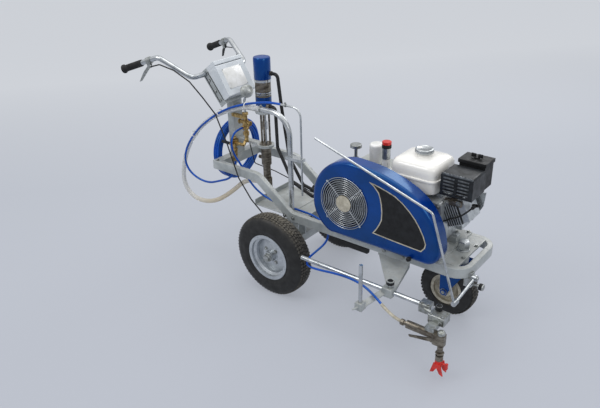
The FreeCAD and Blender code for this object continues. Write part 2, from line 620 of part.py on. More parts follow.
def pump_lower_cylinder():
    """Tie rods, yoke, fluid section, intake and foot valve."""
    at = (PUMP_X, 0)
    pieces = [post(at, YOKE_Z, YOKE_R), post(at, LOWER_Z, LOWER_R), post(at, INTAKE_Z, INTAKE_R), post(at, FOOT_Z, FOOT_R)]
    for turn in (60, 180, 300):
        spot = (PUMP_X + TIE_CIRCLE * math.cos(math.radians(turn)), TIE_CIRCLE * math.sin(math.radians(turn)))
        pieces.append(post(spot, (YOKE_Z[0], HEAD_Z[0]), TIE_R))
    outlet = rod((PUMP_X, 0, LOWER_Z[0] + 30), (PUMP_X - 46, 0, LOWER_Z[0] + 30), 9)
    inlet = rod((PUMP_X, 0, FOOT_Z[0] + 16), (PUMP_X - 50, 0, FOOT_Z[0] + 16), 12)
    body = joined(*pieces, outlet, inlet)
    bore = post(at, (LOWER_Z[0] + 2, YOKE_Z[1] - 8), LOWER_BORE)
    return body.cut(bore).cut(post(at, (YOKE_Z[1] - 9, YOKE_Z[1] + 1), ROD_R + FIT))


def paint_manifold():
    """Brass fittings on a block, the ball valve beside them and the filter bowl below it."""
    x, y = MANIFOLD_AT
    column = post(MANIFOLD_AT, (610, MANIFOLD_TOP), 10)
    pieces = [column, post(MANIFOLD_AT, (700, 722), 16), post(MANIFOLD_AT, (646, 664), 15)]
    mouth = x - OUTLET_REACH
    pieces.append(rod((mouth, y, OUTLET_Z), (x + 26, y, OUTLET_Z), 2 * OUTLET_R))
    pieces.append(rod((x, y - 24, 690), (x, y + 20, 690), 8))
    pieces.append(block((POST_X[1], x + 2), (y - 6, y + 12), (728, 744)))
    valve = rod((VALVE_AT[0] - 2, VALVE_AT[1], VALVE_Z), (x, VALVE_AT[1], VALVE_Z), 8)
    drop = rod((x, VALVE_AT[1], VALVE_Z), (x, y, VALVE_Z + 30), 8)
    body = block((VALVE_AT[0] - 14, VALVE_AT[0] + 14), (VALVE_AT[1] - 14, VALVE_AT[1] + 14), (VALVE_Z - 18, VALVE_Z + 18))
    stem = rod((VALVE_AT[0], VALVE_AT[1] - 13, VALVE_Z), (VALVE_AT[0], VALVE_AT[1] - 32, VALVE_Z), 4)
    bowl = post(VALVE_AT, (VALVE_Z - 96, VALVE_Z - 30), 13)
    neck = post(VALVE_AT, (VALVE_Z - 32, VALVE_Z - 10), 8)
    tie = block((POST_X[1] - 2, VALVE_AT[0]), (-40, -POST_HALF + 2), (VALVE_Z - 8, VALVE_Z + 8))
    arm = block((POST_X[1] - 2, VALVE_AT[0]), (VALVE_AT[1], -POST_HALF + 1), (VALVE_Z - 8, VALVE_Z + 8))
    solid = joined(*pieces, valve, drop, body, stem, bowl, neck, tie, arm).cut(
        block(POST_X, (-POST_HALF, POST_HALF), (ARM_TOP, POST_TOP)))
    return solid.cut(rod((mouth - 1, y, OUTLET_Z), (mouth + OUTLET_DEPTH, y, OUTLET_Z), OUTLET_R))


def valve_handle():
    """Flat handle of the ball valve, on the valve's stem."""
    x, y = VALVE_AT
    start = y - 20
    hub = rod((x, start, VALVE_Z), (x, start - 8, VALVE_Z), 9)
    bar = block((x - 64, x), (start, start - 6), (VALVE_Z - 7, VALVE_Z + 7))
    return joined(hub, bar).cut(rod((x, start + 1, VALVE_Z), (x, start - 9, VALVE_Z), 4 + FIT))


# ---- pick-up tubes and hoses --------------------------------------------------------------------------
PICKUP_Y = -112.0
PICKUP_X = -14.0
PICKUP_TOP = 828.0
RETURN_X = 52.0


def pickup_tubes():
    """Hooked suction tube and the thin return tube, held side by side by a clamp."""
    foot = TRAY_Z + TRAY_SHEET
    suction = bent_tube([(PICKUP_X, PICKUP_Y, foot), (PICKUP_X, PICKUP_Y, PICKUP_TOP), (-186, PICKUP_Y, PICKUP_TOP)],
                        12.5, 1.5, 100)
    back = bent_tube([(RETURN_X, PICKUP_Y, 452), (RETURN_X, PICKUP_Y, 872), (-60, PICKUP_Y, 872)], 4.5, 1.0, 45)
    clamp = block((PICKUP_X - 16, RETURN_X + 9), (PICKUP_Y - 16, PICKUP_Y + 16), (622, 636))
    clamp = clamp.cut(post((PICKUP_X, PICKUP_Y), (620, 640), 12.5)).cut(post((RETURN_X, PICKUP_Y), (620, 640), 4.5))
    return joined(suction, clamp, back)


SUCTION_ROUTE = [(-186.3, -112, 828), (-245, -112, 828), (-335, -112, 806), (-440, -112, 766), (-545, -112, 706),
                 (-640, -112, 624), (-718, -109, 524), (-770, -106, 412), (-792, -102, 310), (-756, -98, 240),
                 (-680, -92, 212), (-575, -78, 232), (-486, -46, 296), (-400, 0, 388), (-312.3, 0, 388)]
RETURN_ROUTE = [(-60.3, -112, 872), (-110, -112, 872), (-186, -117, 860), (-266, -124, 841), (-352, -130, 812),
                (-430, -134, 774), (-508, -134, 724), (-581, -134, 669), (-645, -134, 606), (-698, -134, 535),
                (-728, -132, 462), (-716, -124, 398), (-660, -114, 358), (-584, -104, 348), (-515, -94, 374),
                (-455, -76, 396), (-422, -64, 446), (-418, -62, 503.4)]


def hose(points, radius):
    """A free hose along its route; says how tight its bends are."""
    corners = [Vector(*point) for point in points]
    tightest = min(0.45 * min((b - a).Length, (c - b).Length) / math.tan((b - a).getAngle(c - b) / 2)
                   for a, b, c in zip(corners, corners[1:], corners[2:]))
    path = route(points)
    solid = bent_rod(points, radius)
    expected = math.pi * radius ** 2 * path.Length
    print(f"hose of radius {radius}: {path.Length:.0f} long, tightest bend {tightest:.0f}, "
          f"volume {solid.Volume / expected:.3f} of section times length")
    return solid


def suction_hose():
    return hose(SUCTION_ROUTE, 12.0)


def return_hose():
    return hose(RETURN_ROUTE, 5.5)


COIL_AT = (-520.0, 60.0, 512.0)
COIL_R, COIL_BUNDLE = 148.0, 26.0
GUN_HOSE_R = 5.0
GUN_HOSE_ROUTE = [(-352, -64.4, 690), (-352, -104, 690), (-351, -140, 670), (-347, -156, 626), (-340, -144, 572),
                  (-322, -116, 512), (-284, -114, 446), (-232, -108, 396), (-160, -98, 364), (-76, -84, 352),
                  (10, -80, 350), (96, -82, 350), (170, -98, 336), (220, -134, 310), (230, -176, 288),
                  (216, -222, 266), (208, -266, 253), (222, -308, 250), (262, -340, 258), (325, -352, 272),
                  (392, -356, 286), (455, -362, 298), (520, -370, 304), (580, -380, 300), (640, -398, 284),
                  (700, -418, 262), (756, -430, 249), (795.6, -430, 249)]


def paint_hose_coil():
    """Outer shape of the coiled paint hose, hung behind the column."""
    centre = Vector(*COIL_AT)
    ring = Part.makeTorus(COIL_R, COIL_BUNDLE, centre, X_AXIS)
    return ring


def gun_hose():
    return hose(GUN_HOSE_ROUTE, GUN_HOSE_R)


def hydraulic_hoses():
    """Three black pressure hoses from the hydraulic pump to the fluid pump's ram."""
    start = PUMP_X + RAM_R + PORT_REACH + CLEAR / 2
    end = FAN_AT[0] - PUMP_BODY_R - PORT_REACH - CLEAR / 2
    upper = bent_rod([(start, 12, CAP_Z[0] + 30), (start + 34, 12, CAP_Z[0] + 30), (start + 50, 16, 800),
                      (-130, 20, 560), (-40, 10, 440), (150, -30, 430), (240, -50, FAN_AT[1]), (end, -50, FAN_AT[1])], 8, 20)
    lower = bent_rod([(start, -12, RAM_Z[0] + 14), (start + 34, -12, RAM_Z[0] + 14), (-160, -30, 620),
                      (-60, -46, 470), (80, -70, 440), (230, -100, FAN_AT[1]), (end, -100, FAN_AT[1])], 8, 20)
    return [upper, lower]


def control_cables():
    """Brake cable from the near lever, and the gun cable from the far lever."""
    near, _ = lever_pivot(-1)
    far, _ = lever_pivot(1)
    brake = bent_rod([(near.x + 11.3, near.y, near.z), (-680, -262, 998), (-608, -240, 976), (-526, -222, 930),
                      (-470, -200, 858), (-410, -182, 780), (-350, -178, 640), (-290, -178, 480), (-215, -178, 385),
                      (-110, -176, 300), (-36, -164, 262)], 3.2, 18)
    gun = bent_rod([(far.x + 9.8, far.y, far.z), (-660, 240, 985), (-600, 196, 880), (-560, 130, 770),
                    (-470, 44, 700), (-424, 46, 600), (-400, 60, 450), (-310, 112, 410), (-215, 129, 380), (-100, 129, 346), (100, 129, 346)], 2.6, 16)
    low = RAIL_BOTTOM
    junction = joined(rounded(block((309, 441), (-159, -137), (low - 29, low - 4)), 3, X_AXIS),
                      *[block((x, x + 20), (-156, -140), (low - 6, low)) for x in (325, 405)])
    return [brake, gun, junction]


# ---- engine -----------------------------------------------------------------------------------------
def tilted(shape):
    """Turns a shape drawn along +X at the crank to the cylinder's tilt."""
    shape.rotate(Vector(CRANK[0], 0, CRANK[1]), Y_AXIS, -CYLINDER_TILT)
    return shape


def engine_block():
    """Crankcase, side boss, finned cylinder and head, tank posts, carburettor and exhaust stub."""
    case = rounded(block(BLOCK_X, BLOCK_Y, (ENGINE_BASE, BLOCK_TOP)), 12, Y_AXIS)
    boss = across(CRANK, (BOSS_Y, BLOCK_Y[0]), BOSS_R)
    x, z = CRANK
    cylinder = block((x + 50, x + 152), (-52, 30), (z - 42, z + 42))
    fins = [block((x + 84 + 10 * i, x + 87 + 10 * i), (-70, 48), (z - 58, z + 58)) for i in range(7)]
    head = block((x + 152, x + 180), (-60, 38), (z - 50, z + 50))
    posts = [block((BLOCK_X[0] + 20 + shift, BLOCK_X[0] + 44 + shift), (-40, 20), (BLOCK_TOP - 1, FUEL_Z[0]))
             for shift in (0, 80)]
    feet = [block((BLOCK_X[0] - 24, BLOCK_X[1] + 24), (y - 14, y + 14), (ENGINE_BASE, ENGINE_BASE + 12)) for y in (-65, 40)]
    carburettor = block((x + 62, CLEANER_X[0] + 6), (30, 64), (CLEANER_Z[0] + 2, CLEANER_Z[0] + 40))
    riser = block((x + 62, x + 84), (20, 50), (BLOCK_TOP - 20, CLEANER_Z[0] + 4))
    exhaust = post((MUFFLER_X[0] + 50, -34), (z + 70, MUFFLER_Z[0] + 12), 12)
    solid = joined(case, boss, tilted(joined(cylinder, head, *fins)), *posts, *feet, carburettor, riser, exhaust)
    hole = across(CRANK, (BOSS_Y - 1, -50), CRANK_R + FIT)
    return solid.cut(hole).cut(block((CLEANER_X[0], CLEANER_X[1]), CLEANER_Y, CLEANER_Z))


def engine_shroud():
    """Blower housing with the recoil starter and its handle on the far side, and the front shield."""
    drum = across(CRANK, SHROUD_Y, SHROUD_R)
    square = block((CRANK[0], CRANK[0] + 100), SHROUD_Y, (CRANK[1] - 90, CRANK[1] + 92))
    under = block((CRANK[0] - 150, CRANK[0] + 160), (SHROUD_Y[0] - 1, SHROUD_Y[1] + 1), (CRANK[1] - 160, ENGINE_BASE + 2))
    starter = across(CRANK, (SHROUD_Y[1], STARTER_Y), STARTER_R)
    handle = rod((CRANK[0] + 40, STARTER_Y - 12, CRANK[1] + 70), (CRANK[0] + 88, STARTER_Y - 12, CRANK[1] + 104), 9)
    grip = rod((CRANK[0] + 78, STARTER_Y - 12, CRANK[1] + 128), (CRANK[0] + 102, STARTER_Y - 12, CRANK[1] + 84), 9)
    shield = slab([(766, 598), (856, 622), (850, 560), (812, 486), (790, 478), (764, 520)], (60, 64))
    return joined(drum.fuse(square).cut(under), starter, handle, grip, shield,
                  block((742, 770), (60, SHROUD_Y[0] + 2), (500, 590)))


def throttle_lever():
    """Speed lever on the shroud's front edge."""
    x, y, z = CRANK[0] + 126, SHROUD_Y[0] + 30, CRANK[1] + 60
    pivot = rod((CRANK[0] + 100 + CLEAR, y, z), (x + 8, y, z), 4)
    bar = block((x, x + 3), (y - 5, y + 5), (z - 4, z + 46))
    knob = post((x + 1.5, y), (z + 44, z + 58), 7)
    return joined(pivot, bar, knob)


def level_rectangle(x, half_y, z, corner):
    centre = Vector(sum(x) / 2, 0, z)
    return rounded_rectangle(centre, Vector(1, 0, 0), Vector(0, 1, 0), x[1] - x[0], 2 * half_y, corner)


def fuel_tank():
    """Two pressed halves with a flange between them and a filler neck on the crown."""
    bottom, flange, lid, shoulder, crown = FUEL_Z
    x = FUEL_X

    def ring(inset, z, corner=34):
        return level_rectangle((x[0] + inset, x[1] - inset), FUEL_HALF - inset, z, corner)
    lower = Part.makeLoft([ring(22, bottom), ring(6, bottom + 26), ring(6, flange)], True, True)
    rim_band = Part.makeLoft([ring(0, flange), ring(0, lid)], True, True)
    upper = Part.makeLoft([ring(5, lid), ring(9, lid + 24), ring(24, shoulder), ring(48, crown)], True, True)
    neck = post(FUEL_CAP_AT, (crown - 2, crown + 6), FUEL_CAP_R - 8)
    return joined(lower, rim_band, upper, neck)


def fuel_cap():
    top = FUEL_Z[4] + 6 + CLEAR
    return soft_top(post(FUEL_CAP_AT, (top, top + FUEL_CAP_H), FUEL_CAP_R), 3)


def muffler():
    """The silencer can and its louvred guard."""
    x, y, z = MUFFLER_X, MUFFLER_Y, MUFFLER_Z
    guard = rounded(block(x, y, z), 9, Y_AXIS, X_AXIS)
    sheet = 2.0
    hollow = block((x[0] + sheet, x[1] - sheet), (y[0] + sheet, y[1] - sheet), (z[0] - 1, z[1] - sheet))
    guard = guard.cut(rounded(hollow, 7, Y_AXIS))
    slots = []
    columns = ((x[0] + 14, x[0] + 54), (x[0] + 66, x[0] + 106))
    for column in columns:
        for row in range(5):
            low = z[0] + 14 + 12 * row
            slots.append(block(column, (y[0] - 1, y[0] + 5), (low, low + 5)))
    guard = guard.cut(slots[0].fuse(slots[1:]))
    can = block((x[0] + 14, x[1] - 14), (y[0] + 14, y[1] - 16), (z[0] + 12, z[1] - 12))
    can = rounded(can, 10, X_AXIS)
    straps = [block((x[0] + sheet - 1, x[0] + 15), (spot, spot + 6), (z[0] + 30, z[0] + 44)) for spot in (-70, -40)]
    return joined(guard, can, *straps).cut(post((x[0] + 50, -34), (z[0] - 2, z[0] + 13), 13))


def air_cleaner():
    x, y, z = CLEANER_X, CLEANER_Y, CLEANER_Z
    case = rounded(block(x, y, z), 10, Y_AXIS)
    ribs = [block((x[0] + 18, x[1] - 10), (y[0] - 2.5, y[0]), (low, low + 5)) for low in range(int(z[0]) + 18, int(z[1]) - 24, 14)]
    lid = rounded(block((x[0] - 5, x[1] + 4), (y[0] - 4, y[1] + 4), (z[1] - 16, z[1])), 3, X_AXIS)
    return joined(case, lid, *ribs)


# ---- belt drive -------------------------------------------------------------------------------------
COVER_ARCS = [((742, 378), (782, 396), (799, 440)), ((799, 440), (768, 557), (640, 674)),
              ((640, 674), (528, 712), (405, 727)), ((405, 727), (236, 662), (186, 525)),
              ((186, 525), (206, 440), (250, 392)), ((250, 392), (268, 381), (290, 378))]


def cover_prism(y, inset=0.0):
    """The belt cover's drop-shaped outline, drawn in by an inset and given depth along Y."""
    def spot(pair):
        return Vector(pair[0], y[0], pair[1])
    edges = [Part.Arc(*[spot(pair) for pair in arc]).toShape() for arc in COVER_ARCS]
    edges.append(Part.LineSegment(spot(COVER_ARCS[-1][2]), spot(COVER_ARCS[0][0])).toShape())
    face = Part.Face(Part.Wire(edges))
    if inset:
        face = face.makeOffset2D(-inset)
    return face.extrude(Vector(0, y[1] - y[0], 0))


def near_edges(shape, y):
    """Edges that lie in the plane at y."""
    return [edge for edge in shape.Edges
            if abs(edge.BoundBox.YMin - y) < 0.01 and abs(edge.BoundBox.YMax - y) < 0.01]


def belt_cover():
    near, far = COVER_Y
    outer = cover_prism((near, far))
    outer = outer.makeFillet(COVER_ROUND, near_edges(outer, near))
    inner = cover_prism((near + COVER_SHEET, far + 1), COVER_SHEET)
    inner = inner.makeFillet(COVER_ROUND - COVER_SHEET, near_edges(inner, near + COVER_SHEET))
    hole = across(FAN_AT, (near - 1, near + 10), COVER_HOLE_R)
    return outer.cut(inner).cut(hole)


def belt_back_plate():
    """Flat back of the belt housing, standing on the near rail."""
    far = COVER_Y[1]
    plate = cover_prism((far, far + BACK_PLATE))
    bottom = COVER_ARCS[0][0][1]
    feet = []
    for x in (385, 505):
        feet.append(block((x - 14, x + 14), (far, far + BACK_PLATE), (RAIL_TOP, bottom + 3)))
        feet.append(block((x - 14, x + 14), (far - 12, far + BACK_PLATE), (RAIL_TOP, bottom - CLEAR)))
    holes = [across(CRANK, (far - 1, far + 9), BOSS_R - 26), across(FAN_AT, (far - 1, far + 9), 26)]
    return joined(plate, *feet).cut(holes[0]).cut(holes[1])


def fan_grille():
    """Concentric wires on four stays, screwed over the cover's opening."""
    y = COVER_Y[0] - 4
    x, z = FAN_AT
    wire = 1.6
    centre = Vector(x, y, z)
    rings = [Part.makeTorus(24 + 9.2 * i, wire, centre, Y_AXIS) for i in range(11)]
    hub = across(FAN_AT, (y - 1.5, y + 1.5), 25)
    stays = []
    for turn in (45, 135, 225, 315):
        c, s = math.cos(math.radians(turn)), math.sin(math.radians(turn))
        stays.append(rod((x + 20 * c, y + 1.2, z + 20 * s), (x + (GRILLE_R + 2) * c, y + 1.2, z + (GRILLE_R + 2) * s), 1.9))
        foot = (x + GRILLE_R * c, z + GRILLE_R * s)
        stays.append(across(foot, (COVER_Y[0], y - 2), 5))
    return joined(*rings, hub, *stays)


def grooved_pulley(at, radius, y):
    wheel = across(at, y, radius)
    for middle in GROOVES_Y:
        band = (middle - GROOVE_W / 2, middle + GROOVE_W / 2)
        wheel = wheel.cut(across(at, band, radius + 1).cut(across(at, (band[0] - 1, band[1] + 1), radius - GROOVE_DEPTH)))
    return wheel


def crank_pulley():
    shaft = across(CRANK, (PULLEY_Y[0] - 4, -60), CRANK_R)
    return joined(grooved_pulley(CRANK, CRANK_PULLEY_R, PULLEY_Y), shaft)


def fan_pulley():
    """Driven pulley with cooling blades on its face, on the hydraulic pump's shaft."""
    x, z = FAN_AT
    wheel = grooved_pulley(FAN_AT, FAN_PULLEY_R, PULLEY_Y)
    hub = across(FAN_AT, (PULLEY_Y[0] - 12, PULLEY_Y[0]), 36)
    blades = []
    for i in range(8):
        blade = block((x + 30, x + FAN_PULLEY_R - 4), (PULLEY_Y[0] - 11, PULLEY_Y[0]), (z - 1.5, z + 1.5))
        blade.rotate(Vector(x, 0, z), Y_AXIS, 45 * i)
        blades.append(blade)
    shaft = across(FAN_AT, (PULLEY_Y[0], -90), FAN_SHAFT_R)
    return joined(wheel, hub, shaft, *blades)


def belt_loop(trim, y):
    """The outline round both pulleys at a height above their groove floors."""
    large, small = FAN_PULLEY_R - GROOVE_DEPTH + trim, CRANK_PULLEY_R - GROOVE_DEPTH + trim
    dx, dz = CRANK[0] - FAN_AT[0], CRANK[1] - FAN_AT[1]
    span = math.hypot(dx, dz)
    heading, lean = math.atan2(dz, dx), math.acos((large - small) / span)

    def spot(at, radius, angle):
        return Vector(at[0] + radius * math.cos(angle), y[0], at[1] + radius * math.sin(angle))
    upper, lower = heading + lean, heading - lean
    back = heading + math.pi
    edges = [Part.Arc(spot(FAN_AT, large, upper), spot(FAN_AT, large, back), spot(FAN_AT, large, lower)),
             Part.LineSegment(spot(FAN_AT, large, lower), spot(CRANK, small, lower)),
             Part.Arc(spot(CRANK, small, lower), spot(CRANK, small, heading), spot(CRANK, small, upper)),
             Part.LineSegment(spot(CRANK, small, upper), spot(FAN_AT, large, upper))]
    face = Part.Face(Part.Wire([edge.toShape() for edge in edges]))
    return face.extrude(Vector(0, y[1] - y[0], 0))


def drive_belts():
    belts = []
    for middle in GROOVES_Y:
        y = (middle - GROOVE_W / 2 + CLEAR, middle + GROOVE_W / 2 - CLEAR)
        belts.append(belt_loop(GROOVE_DEPTH, y).cut(belt_loop(CLEAR, (y[0] - 1, y[1] + 1))))
    return belts


# ---- hydraulics -------------------------------------------------------------------------------------
def hydraulic_tank():
    tank = rounded(block(TANK_X, TANK_Y, TANK_Z), 14, Z_AXIS, X_AXIS)
    straps = []
    for x in (TANK_X[0] + 30, TANK_X[1] - 60):
        straps.append(block((x, x + 30), (-FRAME_HALF + 10, FRAME_HALF - 10), (RAIL_TOP, RAIL_TOP + 5)))
        straps.append(block((x, x + 30), (TANK_Y[0], TANK_Y[1]), (RAIL_TOP, TANK_Z[0] + 8)))
    wall = 3.0
    hollow = block((TANK_X[0] + wall, TANK_X[1] - wall), (TANK_Y[0] + wall, TANK_Y[1] - wall), (TANK_Z[0] + wall + 8, TANK_Z[1] - wall))
    return joined(tank, *straps).cut(hollow)


def hydraulic_pump():
    """Piston pump behind the driven pulley, with the relief valve block on top."""
    near, far = PUMP_BODY_Y
    body = across(FAN_AT, (near, far), PUMP_BODY_R)
    inlets = [rod((FAN_AT[0] - PUMP_BODY_R - PORT_REACH, y, FAN_AT[1]), (FAN_AT[0], y, FAN_AT[1]), PORT_R) for y in (-50, -100)]
    flange = across(FAN_AT, (near, near + 8), PUMP_BODY_R + 16)
    ports = block((FAN_AT[0] - 34, FAN_AT[0] - 6), (far - 4, TANK_Y[0]), (FAN_AT[1] - 14, FAN_AT[1] + 14))
    x, y = KNOB_AT
    valve = block((x - 24, x + 50), (y - 24, y + 20), (FAN_AT[1] + 20, 672))
    solid = joined(body, flange, ports, valve, *inlets)
    return solid.cut(across(FAN_AT, (near - 1, -88), FAN_SHAFT_R + FIT)).cut(post(KNOB_AT, (640, 673), 7 + FIT))


def pressure_knob():
    disc = soft_top(post(KNOB_AT, KNOB_Z, KNOB_R), 3)
    stem = post(KNOB_AT, (645, KNOB_Z[1] - 2), 7)
    collar = post(KNOB_AT, (672 + CLEAR, 684), 12)
    return joined(disc, stem, collar)


def oil_filters():
    """The spin-on return filter and the sight neck of the filler, both on the oil tank's top."""
    can = soft_top(post(FILTER_AT, FILTER_Z, FILTER_R), 10)
    seat = post(FILTER_AT, (TANK_Z[1], FILTER_Z[0]), FILTER_R - 6)
    neck = post(NECK_AT, (TANK_Z[1], NECK_TOP), NECK_R)
    neck = joined(neck, post(NECK_AT, (TANK_Z[1], TANK_Z[1] + 8), NECK_R + 5))
    return [joined(can, seat), neck.cut(post(NECK_AT, (TANK_Z[1] + 8, NECK_TOP + 1), NECK_R - 2.5))]


def filler_cap():
    top = NECK_TOP + CLEAR
    cap = soft_top(post(NECK_AT, (top, top + FILLER_CAP_H), FILLER_CAP_R), 2.5)
    plug = post(NECK_AT, (NECK_TOP - 10, top + 2), NECK_R - 2.5 - FIT)
    return joined(cap, plug)


# ---- gun arm ----------------------------------------------------------------------------------------
def arm_bracket():
    """Folded sheet from the near rail out to the clamp of the gun arm, with the spare outrigger."""
    rail = -FRAME_HALF
    sheet = 4.0
    flange = block((500, 652), (rail - sheet, rail), (RAIL_BOTTOM - 6, RAIL_TOP - 6))
    foot = RAIL_BOTTOM + 2
    corners = [Vector(500, rail, foot), Vector(652, rail, foot), Vector(678, ARM_Y + 20, ARM_Z + 14), Vector(630, ARM_Y + 20, ARM_Z + 14)]
    face = Part.Face(Part.makePolygon(corners + corners[:1]))
    web = face.extrude(Vector(0, 0, -sheet))
    edge = [corners[1], corners[2], corners[2] - Vector(0, 0, 14), corners[1] - Vector(0, 0, 22)]
    fold = Part.Face(Part.makePolygon(edge + edge[:1])).extrude(Vector(-sheet, 0, 0))
    clamp = rounded(block((CLAMP_X - 22, CLAMP_X + 22), (ARM_Y - 20, ARM_Y + 22), (ARM_Z - 20, ARM_Z + 20)), 4, X_AXIS)
    stem = rod((CLAMP_X + 6, ARM_Y, ARM_Z + 18), (CLAMP_X + 6, ARM_Y, ARM_Z + 34), 5)
    knob = rod((CLAMP_X + 6, ARM_Y, ARM_Z + 32), (CLAMP_X + 6, ARM_Y, ARM_Z + 52), 15)
    start, end = Vector(CLAMP_X - 18, ARM_Y - 16, ARM_Z - 4), Vector(STUD_AT[0], STUD_AT[1], STUD_Z[0] + 20)
    along = (end - start).normalize()
    flat = block((-3, 3), (0, (end - start).Length), (-13, 13))
    flat.Placement = FreeCAD.Placement(start, FreeCAD.Rotation(Y_AXIS, along))
    holder = block((STUD_AT[0] - 16, STUD_AT[0] + 16), (STUD_AT[1] - 16, STUD_AT[1] + 16), (STUD_Z[0] + 8, STUD_Z[0] + 40))
    screw = rod((STUD_AT[0], STUD_AT[1] - 14, STUD_Z[0] + 24), (STUD_AT[0] - 10, STUD_AT[1] - 40, STUD_Z[0] + 24), 4)
    body = joined(flange, web, fold, clamp, stem, knob, flat, holder, screw)
    bore = rod((CLAMP_X - 30, ARM_Y, ARM_Z), (CLAMP_X + 30, ARM_Y, ARM_Z), ARM_R + FIT)
    return body.cut(bore).cut(post(STUD_AT, (STUD_Z[0] - 20, STUD_Z[1]), STUD_R - 1 + FIT))


def arm_bar():
    return rod((ARM_X[0], ARM_Y, ARM_Z), (ARM_X[1], ARM_Y, ARM_Z), ARM_R)


def arm_stud():
    """Spare gun stud: its lower end, a size smaller, sits in the holder."""
    step = STUD_Z[0] + STUD_SEAT
    return joined(post(STUD_AT, (STUD_Z[0], step), STUD_R - 1), post(STUD_AT, (step, STUD_Z[1]), STUD_R))


def gun_clamp():
    """Two clamp blocks in line: one on the end of the arm, the next ahead of it and carrying the gun's handle."""
    end = ARM_X[1]
    first = rounded(block((end - 44, end - 2), (ARM_Y - 26, ARM_Y + 18), (ARM_Z - 20, ARM_Z + 20)), 4, X_AXIS)
    second = rounded(block((end + 18, end + 82), (ARM_Y - 68, ARM_Y - 12), (ARM_Z - 16, ARM_Z + 20)), 4, X_AXIS)
    pin = rod((end - 20, ARM_Y - 20, ARM_Z), (end + 40, ARM_Y - 34, ARM_Z), 9)
    hanger = block((end + 30, end + 66), (GUN_Y - 12, ARM_Y - 60), (GUN_TOP + 12, ARM_Z - 2))
    knob = rod((end + 38, ARM_Y - 20, ARM_Z + 18), (end + 38, ARM_Y - 20, ARM_Z + 38), 12)
    bore = rod((end - 60, ARM_Y, ARM_Z), (end + 10, ARM_Y, ARM_Z), ARM_R + FIT)
    return joined(first, pin, second, hanger, knob).cut(bore)


def spray_gun():
    """The gun lies handle to the rear, its barrel pointing down."""
    handle = rounded(block((796, GUN_X - 10), (GUN_Y - 12, GUN_Y + 12), (GUN_TOP - 18, GUN_TOP + 12)), 8, X_AXIS)
    head = rounded(block((GUN_X - 30, GUN_X + 16), (GUN_Y - 15, GUN_Y + 15), (GUN_TOP - 34, GUN_TOP + 12)), 6, Z_AXIS)
    barrel = post((GUN_X, GUN_Y), (GUN_TIP, GUN_TOP - 20), BARREL_R)
    nut = post((GUN_X, GUN_Y), (GUN_TIP, GUN_TIP + 22), BARREL_R + 4)
    ear = block((GUN_X - 40, GUN_X - 22), (GUN_Y - 6, GUN_Y + 6), (GUN_TOP - 36, GUN_TOP - 16))
    solid = joined(handle, head, barrel, nut, ear)
    slot = block((GUN_X - 44, GUN_X - 12), (GUN_Y - 3 - CLEAR, GUN_Y + 3 + CLEAR), (GUN_TOP - 46, GUN_TOP - 19))
    pin = across((GUN_X - 32, GUN_TOP - 28), (GUN_Y - 6, GUN_Y + 6), 3)
    return joined(solid.cut(slot), pin)


def gun_trigger():
    """Trigger plate below the handle, on the pin in the gun's ear."""
    pivot = (GUN_X - 32, GUN_TOP - 28)
    blade = slab([(pivot[0] + 6, pivot[1] + 5), (pivot[0] + 6, pivot[1] - 6), (812, pivot[1] - 26), (806, pivot[1] - 20),
                  (pivot[0] - 12, pivot[1] + 5)], (GUN_Y - 3, GUN_Y + 3))
    return blade.cut(across(pivot, (GUN_Y - 4, GUN_Y + 4), 3 + FIT))


def spray_tip():
    """Tip housing with the winged guard and the reversing handle."""
    low = GUN_TIP - CLEAR
    seat = post((GUN_X, GUN_Y), (low - 24, low), 15)
    wings = []
    for side in (-1, 1):
        wing = slab([(GUN_X - 14, low - 10), (GUN_X + 14, low - 10), (GUN_X + 26, GUARD_BOTTOM), (GUN_X + 12, GUARD_BOTTOM + 6),
                     (GUN_X, low - 30), (GUN_X - 12, GUARD_BOTTOM + 6), (GUN_X - 26, GUARD_BOTTOM)],
                    (GUN_Y + side * 15 - 2.5, GUN_Y + side * 15 + 2.5))
        wings.append(wing)
    shaft = rod((GUN_X, GUN_Y, low - 12), (GUN_X + 34, GUN_Y, low - 12), 5)
    handle = block((GUN_X + 28, GUN_X + 36), (GUN_Y - 5, GUN_Y + 5), (low - 30, low - 6))
    return joined(seat, *wings, shaft, handle)


# ---- pointer ----------------------------------------------------------------------------------------
def pointer_arm():
    """Chromed stub from the front clamp down and out to the elbow."""
    root = Vector(*POINTER_ROOT)
    elbow = Vector(POINTER_ELBOW[0], POINTER_Y + 14, POINTER_ELBOW[1])
    stub = rod(root, elbow, STUB_R)
    eye = across(POINTER_ELBOW, (POINTER_Y + 8, POINTER_Y + 22), 11)
    hub = rod(root - X_AXIS * 9, root + X_AXIS * 9, 13)
    pin = across(POINTER_ELBOW, (POINTER_Y - 8, POINTER_Y + 10), 4)
    return joined(stub, eye, hub, pin).cut(rod(root - X_AXIS * 12, root + X_AXIS * 12, 5 + FIT))


def pointer_rod():
    """Long bent rod, folded back along the machine."""
    elbow = (POINTER_ELBOW[0], POINTER_Y, POINTER_ELBOW[1])
    bend = (POINTER_BEND[0], POINTER_Y, POINTER_BEND[1])
    tip = (POINTER_TIP[0], POINTER_Y, POINTER_TIP[1])
    bar = bent_rod([elbow, bend, tip], POINTER_R, 20)
    eye = across(POINTER_ELBOW, (POINTER_Y - 7, POINTER_Y + 8 - CLEAR), 11)
    return joined(bar, eye).cut(across(POINTER_ELBOW, (POINTER_Y - 9, POINTER_Y + 9), 4 + FIT))


